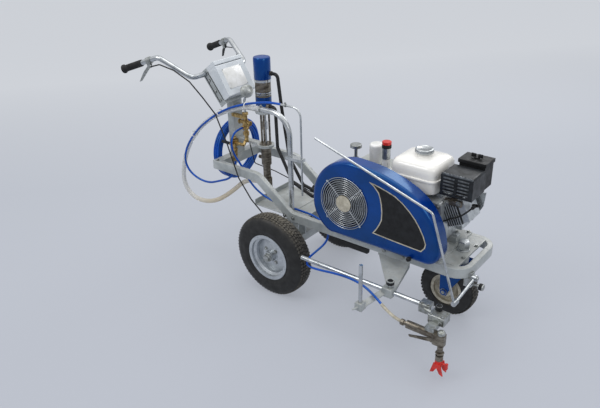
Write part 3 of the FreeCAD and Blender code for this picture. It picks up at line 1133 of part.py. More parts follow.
def clamps_and_bolts():
    """Lever perches, wheel nuts, the pointer's clamp and knob, the coil's hook, and the frame's bolts."""
    pieces = [lever_perch(-1), lever_perch(1)]
    for side in (-1, 1):
        start = side * (REAR_TRACK_HALF + HUB_HALF + CLEAR)
        washer = across((0, REAR_Z), (start, start + side * 3), 22)
        nut = across((0, REAR_Z), (start + side * 3, start + side * 16), 16)
        pieces.append(joined(washer, nut).cut(across((0, REAR_Z), (start - side, start + side * 13.6), AXLE_R)))
    root = Vector(*POINTER_ROOT)
    clamp = block((BOW_FRONT - 40, root.x - 9 - CLEAR), (root.y - 10, root.y + 18), (RAIL_BOTTOM - 42, RAIL_BOTTOM + 22))
    clamp = clamp.cut(block((BOW_FRONT - 41, BOW_FRONT - 24), (root.y - 19, root.y + 19), (RAIL_BOTTOM - 43, RAIL_BOTTOM)))
    clamp = clamp.cut(bow_outside())
    pin = rod((root.x - 12, root.y, root.z), (root.x + 14, root.y, root.z), 5)
    washer = rod((root.x + 9 + CLEAR, root.y, root.z), (root.x + 14, root.y, root.z), 9)
    knob_z = RAIL_BOTTOM - 28
    screw = rod((root.x - 12, root.y, knob_z), (root.x + 20, root.y, knob_z), 4)
    knob = rod((root.x + 18, root.y, knob_z), (root.x + 40, root.y, knob_z), 13)
    pieces.append(joined(clamp, pin, washer, screw, knob))
    hook_z = COIL_AT[2] + COIL_R - COIL_BUNDLE - 5 - CLEAR
    middle = sum(POST_X) / 2
    pieces.append(bent_rod([(middle, POST_HALF, hook_z), (middle, COIL_AT[1], hook_z), (COIL_AT[0] - 34, COIL_AT[1], hook_z)], 5, 12))
    for x in (530, 622):
        pieces.append(rod((x, -FRAME_HALF - 4, RAIL_Z), (x, -FRAME_HALF - 11, RAIL_Z), 7))
    for x in (BLOCK_X[0] - 14, BLOCK_X[1] + 14):
        for y in (-65, 40):
            pieces.append(post((x, y), (ENGINE_BASE + 12, ENGINE_BASE + 20), 7))
    return pieces


CORD_NODES = ("suction_hose", "return_hose", "paint_hose_coil", "gun_hose")


def sub_parts():
    """Every node's shape, by name, with the rails level."""
    return {
        "near_side_tube": side_tube(-1), "far_side_tube": side_tube(1), "front_bow": front_bow(),
        "axle_carrier": axle_carrier(), "engine_deck": engine_deck(), "column_post": column_post(),
        "console_box": console_box(), "console_lid": console_lid(), "pressure_gauge": pressure_gauge(),
        "handlebar": handlebar(), "hand_grips": hand_grips(), "brake_lever": hand_lever(-1, LEVER_REACH, LEVER_DROP),
        "trigger_lever": hand_lever(1, 44, 44), "clamps_and_bolts": clamps_and_bolts(),
        "pump_cylinder": pump_cylinder(), "pump_rod": pump_rod(), "pump_lower_cylinder": pump_lower_cylinder(),
        "paint_manifold": paint_manifold(), "valve_handle": valve_handle(), "pickup_tubes": pickup_tubes(),
        "suction_hose": suction_hose(), "return_hose": return_hose(), "paint_hose_coil": paint_hose_coil(),
        "gun_hose": gun_hose(), "hydraulic_hoses": hydraulic_hoses(), "control_cables": control_cables(),
        "engine_block": engine_block(), "engine_shroud": engine_shroud(), "throttle_lever": throttle_lever(),
        "fuel_tank": fuel_tank(), "fuel_cap": fuel_cap(), "muffler": muffler(), "air_cleaner": air_cleaner(),
        "crank_pulley": crank_pulley(), "fan_pulley": fan_pulley(), "drive_belts": drive_belts(),
        "belt_cover": belt_cover(), "belt_back_plate": belt_back_plate(), "fan_grille": fan_grille(),
        "hydraulic_tank": hydraulic_tank(), "hydraulic_pump": hydraulic_pump(), "pressure_knob": pressure_knob(),
        "oil_filters": oil_filters(), "filler_cap": filler_cap(),
        "near_tyre": rear_tyre(-1), "near_rim": rear_rim(-1), "far_tyre": rear_tyre(1), "far_rim": rear_rim(1),
        "front_tyre": front_tyre(), "front_rim": front_rim(), "caster_fork": caster_fork(),
        "arm_bracket": arm_bracket(), "arm_bar": arm_bar(), "arm_stud": arm_stud(), "gun_clamp": gun_clamp(),
        "spray_gun": spray_gun(), "gun_trigger": gun_trigger(), "spray_tip": spray_tip(),
        "pointer_arm": pointer_arm(), "pointer_rod": pointer_rod(),
    }


def as_shape(piece):
    return Part.makeCompound(piece) if isinstance(piece, list) else piece


def nose_down_angle():
    """Lean of the rails when the tyres stand on level ground, in degrees."""
    rise = (FRONT_Z - FRONT_R) - (REAR_Z - REAR_R)
    return math.degrees(math.asin(rise / math.hypot(FRONT_X, FRONT_Z - REAR_Z)))


def ground_placement(shapes):
    """Sets the level drawing on its wheels, with its footprint centred on the origin."""
    lean = FreeCAD.Placement(Vector(0, 0, 0), FreeCAD.Rotation(Y_AXIS, nose_down_angle()))
    boxes = [as_shape(shape).transformed(lean.toMatrix(), copy=True).optimalBoundingBox(False, False)
             for name, shape in shapes.items() if name not in CORD_NODES]
    low = Vector(*[min(getattr(box, side) for box in boxes) for side in ("XMin", "YMin", "ZMin")])
    high = Vector(*[max(getattr(box, side) for box in boxes) for side in ("XMax", "YMax", "ZMax")])
    shift = Vector(-(low.x + high.x) / 2, -(low.y + high.y) / 2, -low.z)
    return FreeCAD.Placement(shift, FreeCAD.Rotation()).multiply(lean)


def main():
    os.makedirs("parts", exist_ok=True)
    shapes = sub_parts()
    place = ground_placement(shapes)
    for name, shape in shapes.items():
        as_shape(shape).transformed(place.toMatrix(), copy=True).exportStep(f"parts/{name}.step")
    print(len(shapes), "sub-parts, placement", place)


if __name__ == "__main__":
    main()
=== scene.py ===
"""Line striping machine: finishes, tyres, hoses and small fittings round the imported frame."""
import json
import math

import bmesh
import bpy
from bpy.props import FloatProperty, FloatVectorProperty, IntProperty, PointerProperty
from mathutils import Matrix, Vector


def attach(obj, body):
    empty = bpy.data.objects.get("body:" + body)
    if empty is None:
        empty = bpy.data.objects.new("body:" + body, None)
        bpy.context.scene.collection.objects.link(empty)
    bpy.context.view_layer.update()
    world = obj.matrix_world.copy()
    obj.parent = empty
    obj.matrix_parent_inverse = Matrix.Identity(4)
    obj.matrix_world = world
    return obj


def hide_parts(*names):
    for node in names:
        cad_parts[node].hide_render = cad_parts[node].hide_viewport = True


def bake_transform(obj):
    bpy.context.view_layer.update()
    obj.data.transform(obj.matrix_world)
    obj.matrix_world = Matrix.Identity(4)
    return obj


bl_info = {
    "name": "Line striping machine",
    "version": (1, 0, 0),
    "blender": (4, 5, 0),
    "location": "View3D > Sidebar > Striper",
    "description": "Dresses the line striping machine's frame with finishes, tyres, hoses and fittings",
    "category": "Object",
}

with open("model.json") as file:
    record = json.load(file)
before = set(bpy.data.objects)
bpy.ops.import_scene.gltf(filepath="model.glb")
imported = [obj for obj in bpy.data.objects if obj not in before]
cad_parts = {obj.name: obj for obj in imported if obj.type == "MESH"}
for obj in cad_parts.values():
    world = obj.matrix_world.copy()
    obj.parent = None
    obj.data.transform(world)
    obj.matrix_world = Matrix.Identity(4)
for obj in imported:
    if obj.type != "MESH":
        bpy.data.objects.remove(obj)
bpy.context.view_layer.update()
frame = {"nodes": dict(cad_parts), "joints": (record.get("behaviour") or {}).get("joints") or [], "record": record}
JOINTS = {joint["name"]: joint for joint in frame["joints"]}

# The machine is laid out with its rails level, X ahead of the rear axle and Z up, in millimetres.
# The wheels' centres say how the frame leans on its tyres.
REAR_TRACK_HALF, REAR_RADIUS = 272.0, 200.0
REAR_WHEEL = Vector((0.0, -REAR_TRACK_HALF, REAR_RADIUS))
FRONT_WHEEL = Vector((764.0, 0.0, 175.0))
UP, NEAR_SIDE = (0, 0, 1), (0, -1, 0)


def level_to_ground():
    """Takes the level layout, in metres, to where the wheels' joints stand in the frame."""
    rear, front = (Vector(JOINTS[name]["pos_m"]) for name in ("near_wheel_spin", "front_wheel_spin"))
    drawn, stands = FRONT_WHEEL - REAR_WHEEL, front - rear
    lean = math.atan2(drawn.z, drawn.x) - math.atan2(stands.z, stands.x)
    turn = Matrix.Rotation(lean, 4, "Y")
    return Matrix.Translation(rear - turn @ (REAR_WHEEL / 1000)) @ turn


MACHINE = level_to_ground()
MILLIMETRES = MACHINE @ Matrix.Scale(0.001, 4)


def place(x, y, z):
    """A point of the level layout, in millimetres, as metres in the frame."""
    return MILLIMETRES @ Vector((x, y, z))


def linear(code):
    """An sRGB hex colour as linear RGB."""
    parts = [int(code[i:i + 2], 16) / 255 for i in (1, 3, 5)]
    return tuple(part / 12.92 if part <= 0.04045 else ((part + 0.055) / 1.055) ** 2.4 for part in parts)


def rgba(colour):
    """A hex code or a linear colour, with full opacity."""
    return (*(linear(colour) if isinstance(colour, str) else colour), 1.0)


def darker(colour, share):
    return tuple(share * part for part in colour)


# ---- materials ----
def node(tree, kind, sockets=None, **settings):
    """Adds a node with its settings, socket values and links."""
    made = tree.nodes.new("ShaderNode" + kind)
    for name, value in settings.items():
        setattr(made, name, value)
    for key, value in (sockets or {}).items():
        if isinstance(value, bpy.types.NodeSocket):
            tree.links.new(value, made.inputs[key])
        else:
            made.inputs[key].default_value = value
    return made


def ramp(tree, factor, *stops):
    """Colours or greys along a factor: (position, colour) pairs."""
    made = node(tree, "ValToRGB", {"Fac": factor})
    elements = made.color_ramp.elements
    for element, (position, colour) in zip(elements, (stops[0], stops[-1])):
        element.position = position
        element.color = rgba(colour)
    for position, colour in stops[1:-1]:
        elements.new(position).color = rgba(colour)
    return made.outputs["Color"]


def grey(value):
    return (value, value, value)


def material(name):
    """A new material, its node tree, its main shader and its object coordinates."""
    made = bpy.data.materials.new(name)
    made.use_nodes = True
    tree = made.node_tree
    return made, tree, tree.nodes["Principled BSDF"], node(tree, "TexCoord").outputs["Object"]


def set_inputs(bsdf, **values):
    for name, value in values.items():
        bsdf.inputs[name.replace("_", " ")].default_value = value


def surface(name, light, dark, patch, rough, metallic=0.0, grain=None, depth=0.0, stretch=(1, 1, 1),
            dust=None, **shader):
    """A finish: its colour wanders between two shades in patches (mm), its roughness with it, and a grain
    (mm) of a depth (mm) gives the surface. Dust settles on what faces up."""
    made, tree, bsdf, coords = material(name)
    spot = node(tree, "Mapping", {"Vector": coords, "Scale": stretch}).outputs["Vector"]
    patches = {"Vector": spot, "Scale": 1000 / patch, "Detail": 6.0, "Roughness": 0.62}
    wander = node(tree, "TexNoise", patches).outputs["Fac"]
    colour = ramp(tree, wander, (0.32, dark), (0.62, light))
    if dust:
        up = node(tree, "SeparateXYZ", {"Vector": node(tree, "NewGeometry").outputs["Normal"]}).outputs["Z"]
        speck = node(tree, "TexNoise", {"Vector": coords, "Scale": 55.0, "Detail": 8.0}).outputs["Fac"]
        both = node(tree, "Math", {0: up, 1: speck}, operation="MULTIPLY").outputs["Value"]
        share = ramp(tree, both, (0.25, grey(0.0)), (0.75, grey(dust[1])))
        blend = node(tree, "MixRGB", {"Fac": share, "Color1": colour, "Color2": rgba(dust[0])})
        colour = blend.outputs["Color"]
    tree.links.new(colour, bsdf.inputs["Base Color"])
    tree.links.new(ramp(tree, wander, (0.3, grey(rough[1])), (0.7, grey(rough[0]))), bsdf.inputs["Roughness"])
    set_inputs(bsdf, Metallic=metallic, **shader)
    if grain:
        fine = node(tree, "TexNoise", {"Vector": spot, "Scale": 1000 / grain, "Detail": 3.0}).outputs["Fac"]
        bump = node(tree, "Bump", {"Height": fine, "Strength": 0.6, "Distance": depth / 1000})
        tree.links.new(bump.outputs["Normal"], bsdf.inputs["Normal"])
    return made


def galvanised_steel():
    """Hot-dip zinc: a crystal spangle some 7 mm across, each flake a little lighter or darker."""
    made = surface("galvanised_steel", "#C3C8CC", "#9EA4A9", 40, (0.28, 0.42), metallic=0.85,
                   dust=("#8D8676", 0.35))
    tree = made.node_tree
    bsdf = tree.nodes["Principled BSDF"]
    coords = node(tree, "TexCoord").outputs["Object"]
    flake = node(tree, "TexVoronoi", {"Vector": coords, "Scale": 1000 / 7}).outputs["Color"]
    value = node(tree, "RGBToBW", {"Color": flake}).outputs["Val"]
    old = bsdf.inputs["Base Color"].links[0].from_socket
    tint = ramp(tree, value, (0.2, "#B9BEC3"), (0.8, "#D6DADD"))
    mixed = node(tree, "MixRGB", {"Fac": 0.45, "Color1": old, "Color2": tint})
    tree.links.new(mixed.outputs["Color"], bsdf.inputs["Base Color"])
    return made


def clear_vinyl():
    """Clear PVC hose, a little milky, amber where paint has stained its lower end."""
    made, tree, bsdf, coords = material("clear_vinyl")
    along = node(tree, "SeparateXYZ", {"Vector": coords}).outputs
    low = node(tree, "MapRange", {"Value": along["Z"], "From Min": 0.48, "From Max": 0.20})
    ahead = node(tree, "MapRange", {"Value": along["X"], "From Min": -0.86, "From Max": -0.40})
    both = {0: low.outputs["Result"], 1: ahead.outputs["Result"]}
    stain = node(tree, "Math", both, operation="MULTIPLY").outputs["Value"]
    colour = ramp(tree, stain, (0.0, "#E4E5E4"), (0.35, "#DDD3BE"), (1.0, "#B99A62"))
    tree.links.new(colour, bsdf.inputs["Base Color"])
    set_inputs(bsdf, Roughness=0.14, Transmission_Weight=0.42, IOR=1.3, Coat_Weight=0.4)
    return made


FINISHES = {}


def make_finishes():
    """Fills FINISHES by the frame's slots, and a few more names that pieces ask for."""
    colours = bpy.context.scene.striper_colours
    FINISHES.update({
        # Powder coat: even, a faint orange peel, grime in soft patches.
        "frame_paint": surface("powder_coat_grey", "#B3B8B8", "#8F9595", 90, (0.24, 0.4), grain=1.4,
                               depth=0.04, dust=("#A39C8C", 0.35), Coat_Weight=0.15),
        # Bake-painted sheet steel, the box a cleaner white than the frame.
        "white_box": surface("enamel_white", "#D5DADE", "#BFC6CA", 120, (0.25, 0.36), grain=2.0, depth=0.02,
                             Coat_Weight=0.3),
        # Bright nickel-chrome on tube: mirror-like with fine smears.
        "chrome": surface("chrome_plate", "#CFD2D4", "#9EA3A6", 50, (0.1, 0.24), metallic=1.0, grain=14.0,
                          depth=0.05),
        # Moulded natural rubber, dull, with a faint bloom.
        "black_rubber": surface("moulded_rubber", "#18191A", "#0B0C0C", 25, (0.55, 0.8), grain=0.9,
                                depth=0.12),
        # Drawn aluminium tube, bright and smooth.
        "tube": surface("drawn_aluminium", "#D2D5D6", "#9DA2A4", 70, (0.2, 0.32), metallic=0.85, grain=6.0,
                        depth=0.04),
        # Zinc-plated fasteners and clamps, a little blotched.
        "zinc": surface("zinc_plate", "#B4B7B7", "#83867F", 14, (0.28, 0.46), metallic=0.9, grain=1.2,
                        depth=0.05),
        # Stove-enamelled black, half glossy.
        "black_paint": surface("enamel_black", "#22262A", "#0C0E10", 30, (0.3, 0.5), grain=1.0, depth=0.05,
                         Specular_IOR_Level=0.35),
        # Turned and handled steel, brown where oil and paint have dried on it.
        "steel": surface("turned_steel", "#8F887C", "#3F372E", 34, (0.26, 0.5), metallic=0.85, grain=2.0,
                         depth=0.06, stretch=(1, 1, 3)),
        # Machined brass, dulled in patches.
        "brass": surface("machined_brass", "#CDB077", "#7A6239", 12, (0.24, 0.5), metallic=0.9, grain=1.0,
                         depth=0.05),
        "clear_hose": clear_vinyl(),
        # Extruded nylon hose: smooth and glossy, its gloss a little blue.
        "blue_hose": surface("nylon_hose_blue", colours.hose, darker(colours.hose, 0.55), 60, (0.22, 0.34),
                             grain=3.0, depth=0.05, Specular_IOR_Level=0.9,
                             Specular_Tint=(0.3, 0.7, 1.0, 1.0)),
        # Sand-cast aluminium with an open, sparkling grain.
        "engine_alloy": surface("cast_aluminium", "#D6DADC", "#B6BBBE", 18, (0.34, 0.55), metallic=0.75,
                                grain=0.9, depth=0.15, dust=("#7B776C", 0.25)),
        # Pressed steel tank under thick gloss enamel.
        "tank_white": surface("enamel_ivory", colours.tank, darker(colours.tank, 0.9), 140, (0.12, 0.2),
                              grain=4.0, depth=0.02, Coat_Weight=0.7, Coat_Roughness=0.06),
        # Glass-filled nylon: black, finely pitted.
        "black_plastic": surface("moulded_nylon_black", "#1B1C1E", "#0B0C0D", 24, (0.42, 0.6), grain=0.8,
                           depth=0.08, Specular_IOR_Level=0.35),
        # Grey iron under a thin dark paint, rough to the light; on the guard's louvres the same grey paints the
        # highlight on their lips.
        "cast_grey": surface("cast_iron_dark", "#73787C", "#34383B", 16, (0.45, 0.7), metallic=0.5, grain=1.1,
                        depth=0.2),
        # Metallic blue enamel: a deep colour whose gloss comes back blue as well.
        "cover_blue": surface("enamel_blue", colours.cover, darker(colours.cover, 0.55), 160, (0.14, 0.26),
                        grain=3.0, depth=0.03, Specular_IOR_Level=1.0, Specular_Tint=(0.2, 0.6, 1.0, 1.0)),
        # White enamel on the oil filter and the box's plate: clean, under a clear gloss.
        "filter_white": surface("enamel_filter_white", "#F0F0EE", "#D3D3CE", 40, (0.2, 0.34), grain=3.0,
                                depth=0.02, Coat_Weight=0.4),
        # Acetal mouldings in signal red.
        "red_plastic": surface("acetal_red", colours.guard, darker(colours.guard, 0.6), 14, (0.3, 0.45),
                               grain=1.0, depth=0.05, Coat_Weight=0.2),
        # Black rubber with road dust dried on what faces up.
        "tyre": surface("tyre_rubber", "#1F1F1E", "#101010", 40, (0.5, 0.72), grain=2.5, depth=0.15,
                        dust=("#6B6152", 0.5)),
        # The same rubber worn dull and paled by dust on the blocks that meet the ground.
        "tread": surface("worn_tread_rubber", "#4C4943", "#262522", 24, (0.6, 0.82), grain=2.0, depth=0.1,
                         dust=("#8F8776", 0.45)),
        "galvanised": galvanised_steel(),
        # Cream enamel gone chalky, dusty on top.
        "rim_cream": surface("enamel_cream", "#C6C0AE", "#9A9381", 26, (0.32, 0.5), grain=2.0, depth=0.03,
                         dust=("#857B68", 0.4)),
    })


OWN_FINISH = {"near_rim": "galvanised", "far_rim": "galvanised", "pickup_tubes": "tube",
              "pressure_knob": "zinc"}


# ---- building pieces ----
def new_object(bm, name):
    mesh = bpy.data.meshes.new(name)
    bm.to_mesh(mesh)
    bm.free()
    made = bpy.data.objects.new(name, mesh)
    bpy.context.scene.collection.objects.link(made)
    return made


def dress(bm, name, body, *finishes, stands_for=(), smooth=40):
    """Turns a bmesh in level millimetres into a finished piece that rides on a body."""
    bmesh.ops.transform(bm, matrix=MILLIMETRES, verts=bm.verts)
    piece = new_object(bm, name)
    for finish in finishes:
        piece.data.materials.append(FINISHES[finish])
    piece.data.shade_smooth()
    piece.data.set_sharp_from_angle(angle=math.radians(smooth))
    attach(piece, body)
    if stands_for:
        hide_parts(*stands_for)
    return piece


def turn_to(axis):
    """A rotation that takes +Z to an axis."""
    return Vector((0, 0, 1)).rotation_difference(Vector(axis)).to_matrix().to_4x4()


def spun(bm, profile, centre, axis, steps=64):
    """A turned shape: profile points are (radius, distance along the axis)."""
    verts = [bm.verts.new((radius, 0, along)) for radius, along in profile]
    edges = [bm.edges.new(pair) for pair in zip(verts, verts[1:] + verts[:1])]
    bmesh.ops.spin(bm, geom=verts + edges, cent=(0, 0, 0), axis=UP, angle=math.tau, steps=steps,
                   use_merge=True)
    region = linked(verts)
    bmesh.ops.remove_doubles(bm, verts=region, dist=0.001)
    region = linked([vert for vert in region if vert.is_valid])
    bmesh.ops.recalc_face_normals(bm, faces=list({face for vert in region for face in vert.link_faces}))
    bmesh.ops.transform(bm, matrix=Matrix.Translation(centre) @ turn_to(axis), verts=region)
    return region


def band(bm, centre, inner, outer, low, high, axis=UP, steps=64):
    """A turned ring with a square section."""
    return spun(bm, [(inner, low), (outer, low), (outer, high), (inner, high)], centre, axis, steps)


def linked(verts):
    """Every vertex joined to these."""
    seen, waiting = set(verts), list(verts)
    while waiting:
        for edge in waiting.pop().link_edges:
            for vert in edge.verts:
                if vert not in seen:
                    seen.add(vert)
                    waiting.append(vert)
    return list(seen)


def bevelled(bm, edges, offset, segments):
    return bmesh.ops.bevel(bm, geom=edges, offset=offset, segments=segments, affect="EDGES", profile=0.5,
                           material=-1)["verts"]


def box(bm, x, y, z, round_by=0.0, segments=2):
    """A box between pairs of coordinates, its edges rounded."""
    size = Matrix.Diagonal((abs(x[1] - x[0]), abs(y[1] - y[0]), abs(z[1] - z[0]), 1))
    centre = Matrix.Translation((sum(x) / 2, sum(y) / 2, sum(z) / 2))
    verts = bmesh.ops.create_cube(bm, size=1, matrix=centre @ size)["verts"]
    if round_by:
        verts = bevelled(bm, list({edge for vert in verts for edge in vert.link_edges}), round_by, segments)
    return linked(verts)


def bar(bm, start, end, radius, sides=20, end_radius=None, chamfer=0.0):
    """A round bar or cone between two points."""
    start, end = Vector(start), Vector(end)
    along = end - start
    matrix = Matrix.Translation((start + end) / 2) @ turn_to(along)
    verts = bmesh.ops.create_cone(bm, cap_ends=True, segments=sides, radius1=radius,
                                  radius2=radius if end_radius is None else end_radius, depth=along.length,
                                  matrix=matrix)["verts"]
    if chamfer:
        caps = [face for face in {f for v in verts for f in v.link_faces} if len(face.verts) == sides]
        verts = bevelled(bm, list({edge for face in caps for edge in face.edges}), chamfer, 1)
    return linked(verts)


def bolt(bm, at, axis, across=13.0, height=6.0):
    """A hexagon head, across its flats, on a washer."""
    at, axis = Vector(at), Vector(axis).normalized()
    washer = 1.6
    bar(bm, at, at + axis * washer, across * 0.85, 24)
    bar(bm, at + axis * washer, at + axis * height, across / math.sqrt(3), 6, chamfer=0.8)


def sheet(bm, outline, y, thickness):
    """A flat sheet whose outline is in X and Z. It grows from y towards the near side."""
    face = bm.faces.new([bm.verts.new((x, y, z)) for x, z in outline])
    grown = bmesh.ops.extrude_face_region(bm, geom=[face])["geom"]
    verts = [item for item in grown if isinstance(item, bmesh.types.BMVert)]
    bmesh.ops.translate(bm, verts=verts, vec=(0, -thickness, 0))
    bmesh.ops.recalc_face_normals(bm, faces=bm.faces)


def smooth_curve(name, points, radius, body, finish, around=5, along=10):
    """A round line through control points, in level millimetres."""
    data = bpy.data.curves.new(name, "CURVE")
    data.dimensions = "3D"
    data.bevel_depth = radius / 1000
    data.bevel_resolution = around
    data.use_fill_caps = True
    spline = data.splines.new("NURBS")
    spline.points.add(len(points) - 1)
    for point, spot in zip(spline.points, points):
        point.co = (*place(*spot), 1.0)
    spline.order_u = 3
    spline.use_endpoint_u = True
    spline.resolution_u = along
    data.materials.append(FINISHES[finish])
    piece = bpy.data.objects.new(name, data)
    bpy.context.scene.collection.objects.link(piece)
    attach(piece, body)
    return piece


def centre_line(curve):
    """The points along a curve's middle, in metres."""
    bare = curve.data.copy()
    bare.bevel_depth = 0
    probe = bpy.data.objects.new("probe", bare)
    line = bpy.data.meshes.new_from_object(probe)
    points = [vertex.co.copy() for vertex in line.vertices]
    bpy.data.objects.remove(probe)
    bpy.data.curves.remove(bare)
    bpy.data.meshes.remove(line)
    return points


def spline_length(curve):
    points = centre_line(curve)
    return sum((there - here).length for here, there in zip(points, points[1:]))


# ---- settings ----
class StriperColours(bpy.types.PropertyGroup):
    """Colours that a buyer would choose."""
    cover: FloatVectorProperty(name="Cover", description="Belt cover enamel", subtype="COLOR",
                               default=linear("#002F80"))
    tank: FloatVectorProperty(name="Tank", description="Fuel tank enamel", subtype="COLOR",
                              default=linear("#F4F2EC"))
    hose: FloatVectorProperty(name="Hose", description="Paint hose", subtype="COLOR",
                              default=linear("#0648B4"))
    guard: FloatVectorProperty(name="Tip guard", description="Spray tip guard", subtype="COLOR",
                               default=linear("#D92B1E"))


class StriperSizes(bpy.types.PropertyGroup):
    """Sizes of the fittings."""
    tread_blocks: IntProperty(name="Tread blocks", description="Blocks round a rear tyre", default=72,
                              min=12, max=120)
    tread_depth: FloatProperty(name="Tread depth", description="Depth of the grooves", default=0.003,
                               unit="LENGTH")
    coil_turns: IntProperty(name="Coil turns", description="Turns of the stored paint hose", default=9,
                            min=2, max=14)
    coil_hose: FloatProperty(name="Paint hose", description="Diameter of the stored hose", default=0.012,
                             unit="LENGTH")


# ---- stage ----
# The camera stands in the level layout, in metres, with its lens and sensor in millimetres.
CAMERA_AT = Vector((1.699, -2.167, 1.713))
CAMERA_TURN, CAMERA_RISE, CAMERA_ROLL = (math.radians(angle) for angle in (38.98, 26.32, -1.47))
CAMERA_LENS, CAMERA_SENSOR = 37.7, 36
FLOOR_DROP = 0.0006
LAMPS = (("key", (-1.2, -3.0, 3.6), 1.6, 30), ("side", (3.4, -1.2, 2.4), 1.2, 14),
         ("top", (0.2, 0.4, 4.0), 2.4, 26), ("rim", (0.4, 3.4, 2.8), 1.6, 24))


class STRIPER_OT_stage(bpy.types.Operator):
    """Camera, floor, backdrop and soft studio lights"""
    bl_idname = "striper.stage"
    bl_label = "Stage"

    def execute(self, context):
        scene = context.scene
        scene.view_settings.view_transform = "Standard"
        self.camera(scene)
        self.floor()
        self.sky(scene)
        self.lights(scene)
        return {"FINISHED"}

    def camera(self, scene):
        """Looks along a turn, a rise and a roll."""
        right = Vector((math.cos(CAMERA_TURN), math.sin(CAMERA_TURN), 0))
        level = math.cos(CAMERA_RISE)
        back = Vector((right.y * level, -right.x * level, math.sin(CAMERA_RISE)))
        up = back.cross(right)
        roll, tilt = math.cos(CAMERA_ROLL), math.sin(CAMERA_ROLL)
        axes = Matrix((roll * right + tilt * up, -tilt * right + roll * up, back)).transposed().to_4x4()
        camera = bpy.data.objects.new("camera", bpy.data.cameras.new("camera"))
        camera.data.lens = CAMERA_LENS
        camera.data.sensor_width = CAMERA_SENSOR
        camera.matrix_world = MACHINE @ Matrix.Translation(CAMERA_AT) @ axes
        scene.collection.objects.link(camera)
        scene.camera = camera

    def floor(self):
        """One wide sheet of pale paper that glows to lift the shadows on it, its colour painted a little lighter
        with distance.
        """
        bm = bmesh.new()
        bmesh.ops.create_grid(bm, x_segments=1, y_segments=1, size=60)
        floor = new_object(bm, "studio_floor")
        paper, tree, bsdf, coords = material("studio_paper_painted_light")
        away = node(tree, "VectorMath", {0: coords, 1: (-0.61, 0.76, 0.0)}, operation="DOT_PRODUCT")
        share = node(tree, "MapRange", {"Value": away.outputs["Value"], "From Min": -1.0, "From Max": 5.0})
        colour = ramp(tree, share.outputs["Result"], (0.0, "#AEB2BB"), (0.4, "#B3B7BF"), (1.0, "#C9CCD1"))
        # Painted light: the paper's colour is dimmed and the same colour glows, so the machine's shadow on it
        # stays pale.
        dimmed = node(tree, "VectorMath", {0: colour, "Scale": 0.52}, operation="SCALE").outputs["Vector"]
        tree.links.new(dimmed, bsdf.inputs["Base Color"])
        tree.links.new(colour, bsdf.inputs["Emission Color"])
        set_inputs(bsdf, Emission_Strength=0.6, Roughness=1.0, Specular_IOR_Level=0.0)
        floor.data.materials.append(paper)
        floor.location.z = -FLOOR_DROP

    def sky(self, scene):
        """A soft overhead dome, grey at the horizon."""
        world = bpy.data.worlds.new("studio")
        world.use_nodes = True
        tree = world.node_tree
        coords = node(tree, "TexCoord").outputs["Generated"]
        height = node(tree, "SeparateXYZ", {"Vector": coords}).outputs["Z"]
        sky = ramp(tree, height, (0.0, "#C4C8CE"), (0.08, "#9A9DA3"), (0.25, "#B4B7BC"), (0.6, "#F4F6FA"),
                   (1.0, "#FFFFFF"))
        shade = tree.nodes["Background"]
        tree.links.new(sky, shade.inputs["Color"])
        shade.inputs["Strength"].default_value = 1.0
        scene.world = world

    def lights(self, scene):
        """Four square lamps that look at the machine's middle."""
        for name, at, size, power in LAMPS:
            lamp = bpy.data.lights.new(name, "AREA")
            lamp.energy = power
            lamp.size = size
            light = bpy.data.objects.new(name, lamp)
            light.location = at
            light.rotation_euler = (Vector((0, 0, 0.5)) - Vector(at)).to_track_quat("-Z", "Y").to_euler()
            scene.collection.objects.link(light)


class STRIPER_OT_frame_finishes(bpy.types.Operator):
    """Gives every carried-over node its finish"""
    bl_idname = "striper.frame_finishes"
    bl_label = "Frame finishes"

    def execute(self, context):
        make_finishes()
        slots = {part["node"]: part["material_slot"] for part in frame["record"]["subparts"]}
        for name, piece in frame["nodes"].items():
            piece.data.materials.clear()
            piece.data.materials.append(FINISHES[OWN_FINISH.get(name, slots[name])])
            piece.data.shade_smooth()
            piece.data.set_sharp_from_angle(angle=math.radians(32))
        return {"FINISHED"}


# ---- hoses ----
SUCTION_ROUTE = [
    (-186.3, -112, 828), (-245, -112, 828), (-335, -112, 806), (-440, -112, 766), (-545, -112, 706),
    (-640, -112, 624), (-718, -109, 524), (-770, -106, 412), (-792, -102, 310), (-756, -98, 240),
    (-680, -92, 212), (-575, -78, 232), (-486, -46, 296), (-400, 0, 388), (-312.3, 0, 388)]
RETURN_ROUTE = [
    (-60.3, -112, 872), (-110, -112, 872), (-186, -117, 860), (-266, -124, 841), (-352, -130, 812),
    (-430, -134, 774), (-508, -134, 724), (-581, -134, 669), (-645, -134, 606), (-698, -134, 535),
    (-728, -132, 462), (-716, -124, 398), (-660, -114, 358), (-584, -104, 348), (-515, -94, 374),
    (-455, -76, 396), (-422, -64, 446), (-418, -62, 503.4)]
GUN_HOSE_ROUTE = [
    (-352, -64.4, 690), (-352, -104, 690), (-351, -140, 670), (-347, -156, 626), (-340, -144, 572),
    (-322, -116, 512), (-284, -114, 446), (-232, -108, 396), (-160, -98, 364), (-76, -84, 352),
    (10, -80, 350), (96, -82, 350), (170, -98, 336), (220, -134, 310), (230, -176, 288),
    (216, -222, 266), (208, -266, 253), (222, -308, 250), (262, -340, 258), (325, -352, 272),
    (392, -356, 286), (455, -362, 298), (520, -370, 304), (580, -380, 300), (640, -398, 284),
    (700, -418, 262), (728, -424, 255.5)]
SLEEVE_ROUTE = [(670, -408, 273), (700, -418, 262), (756, -430, 249), (795.6, -430, 249)]
# Spans on the gun hose by the arm's slide, and on its end sleeve by the gun's tilt.
ARM_BEND = (262, -340, 258), (640, -398, 284)
GUN_BEND = (728, -424, 255.5), (790, -430, 249)
COIL_AT, COIL_R = Vector((-520.0, 60.0, 512.0)), 148.0


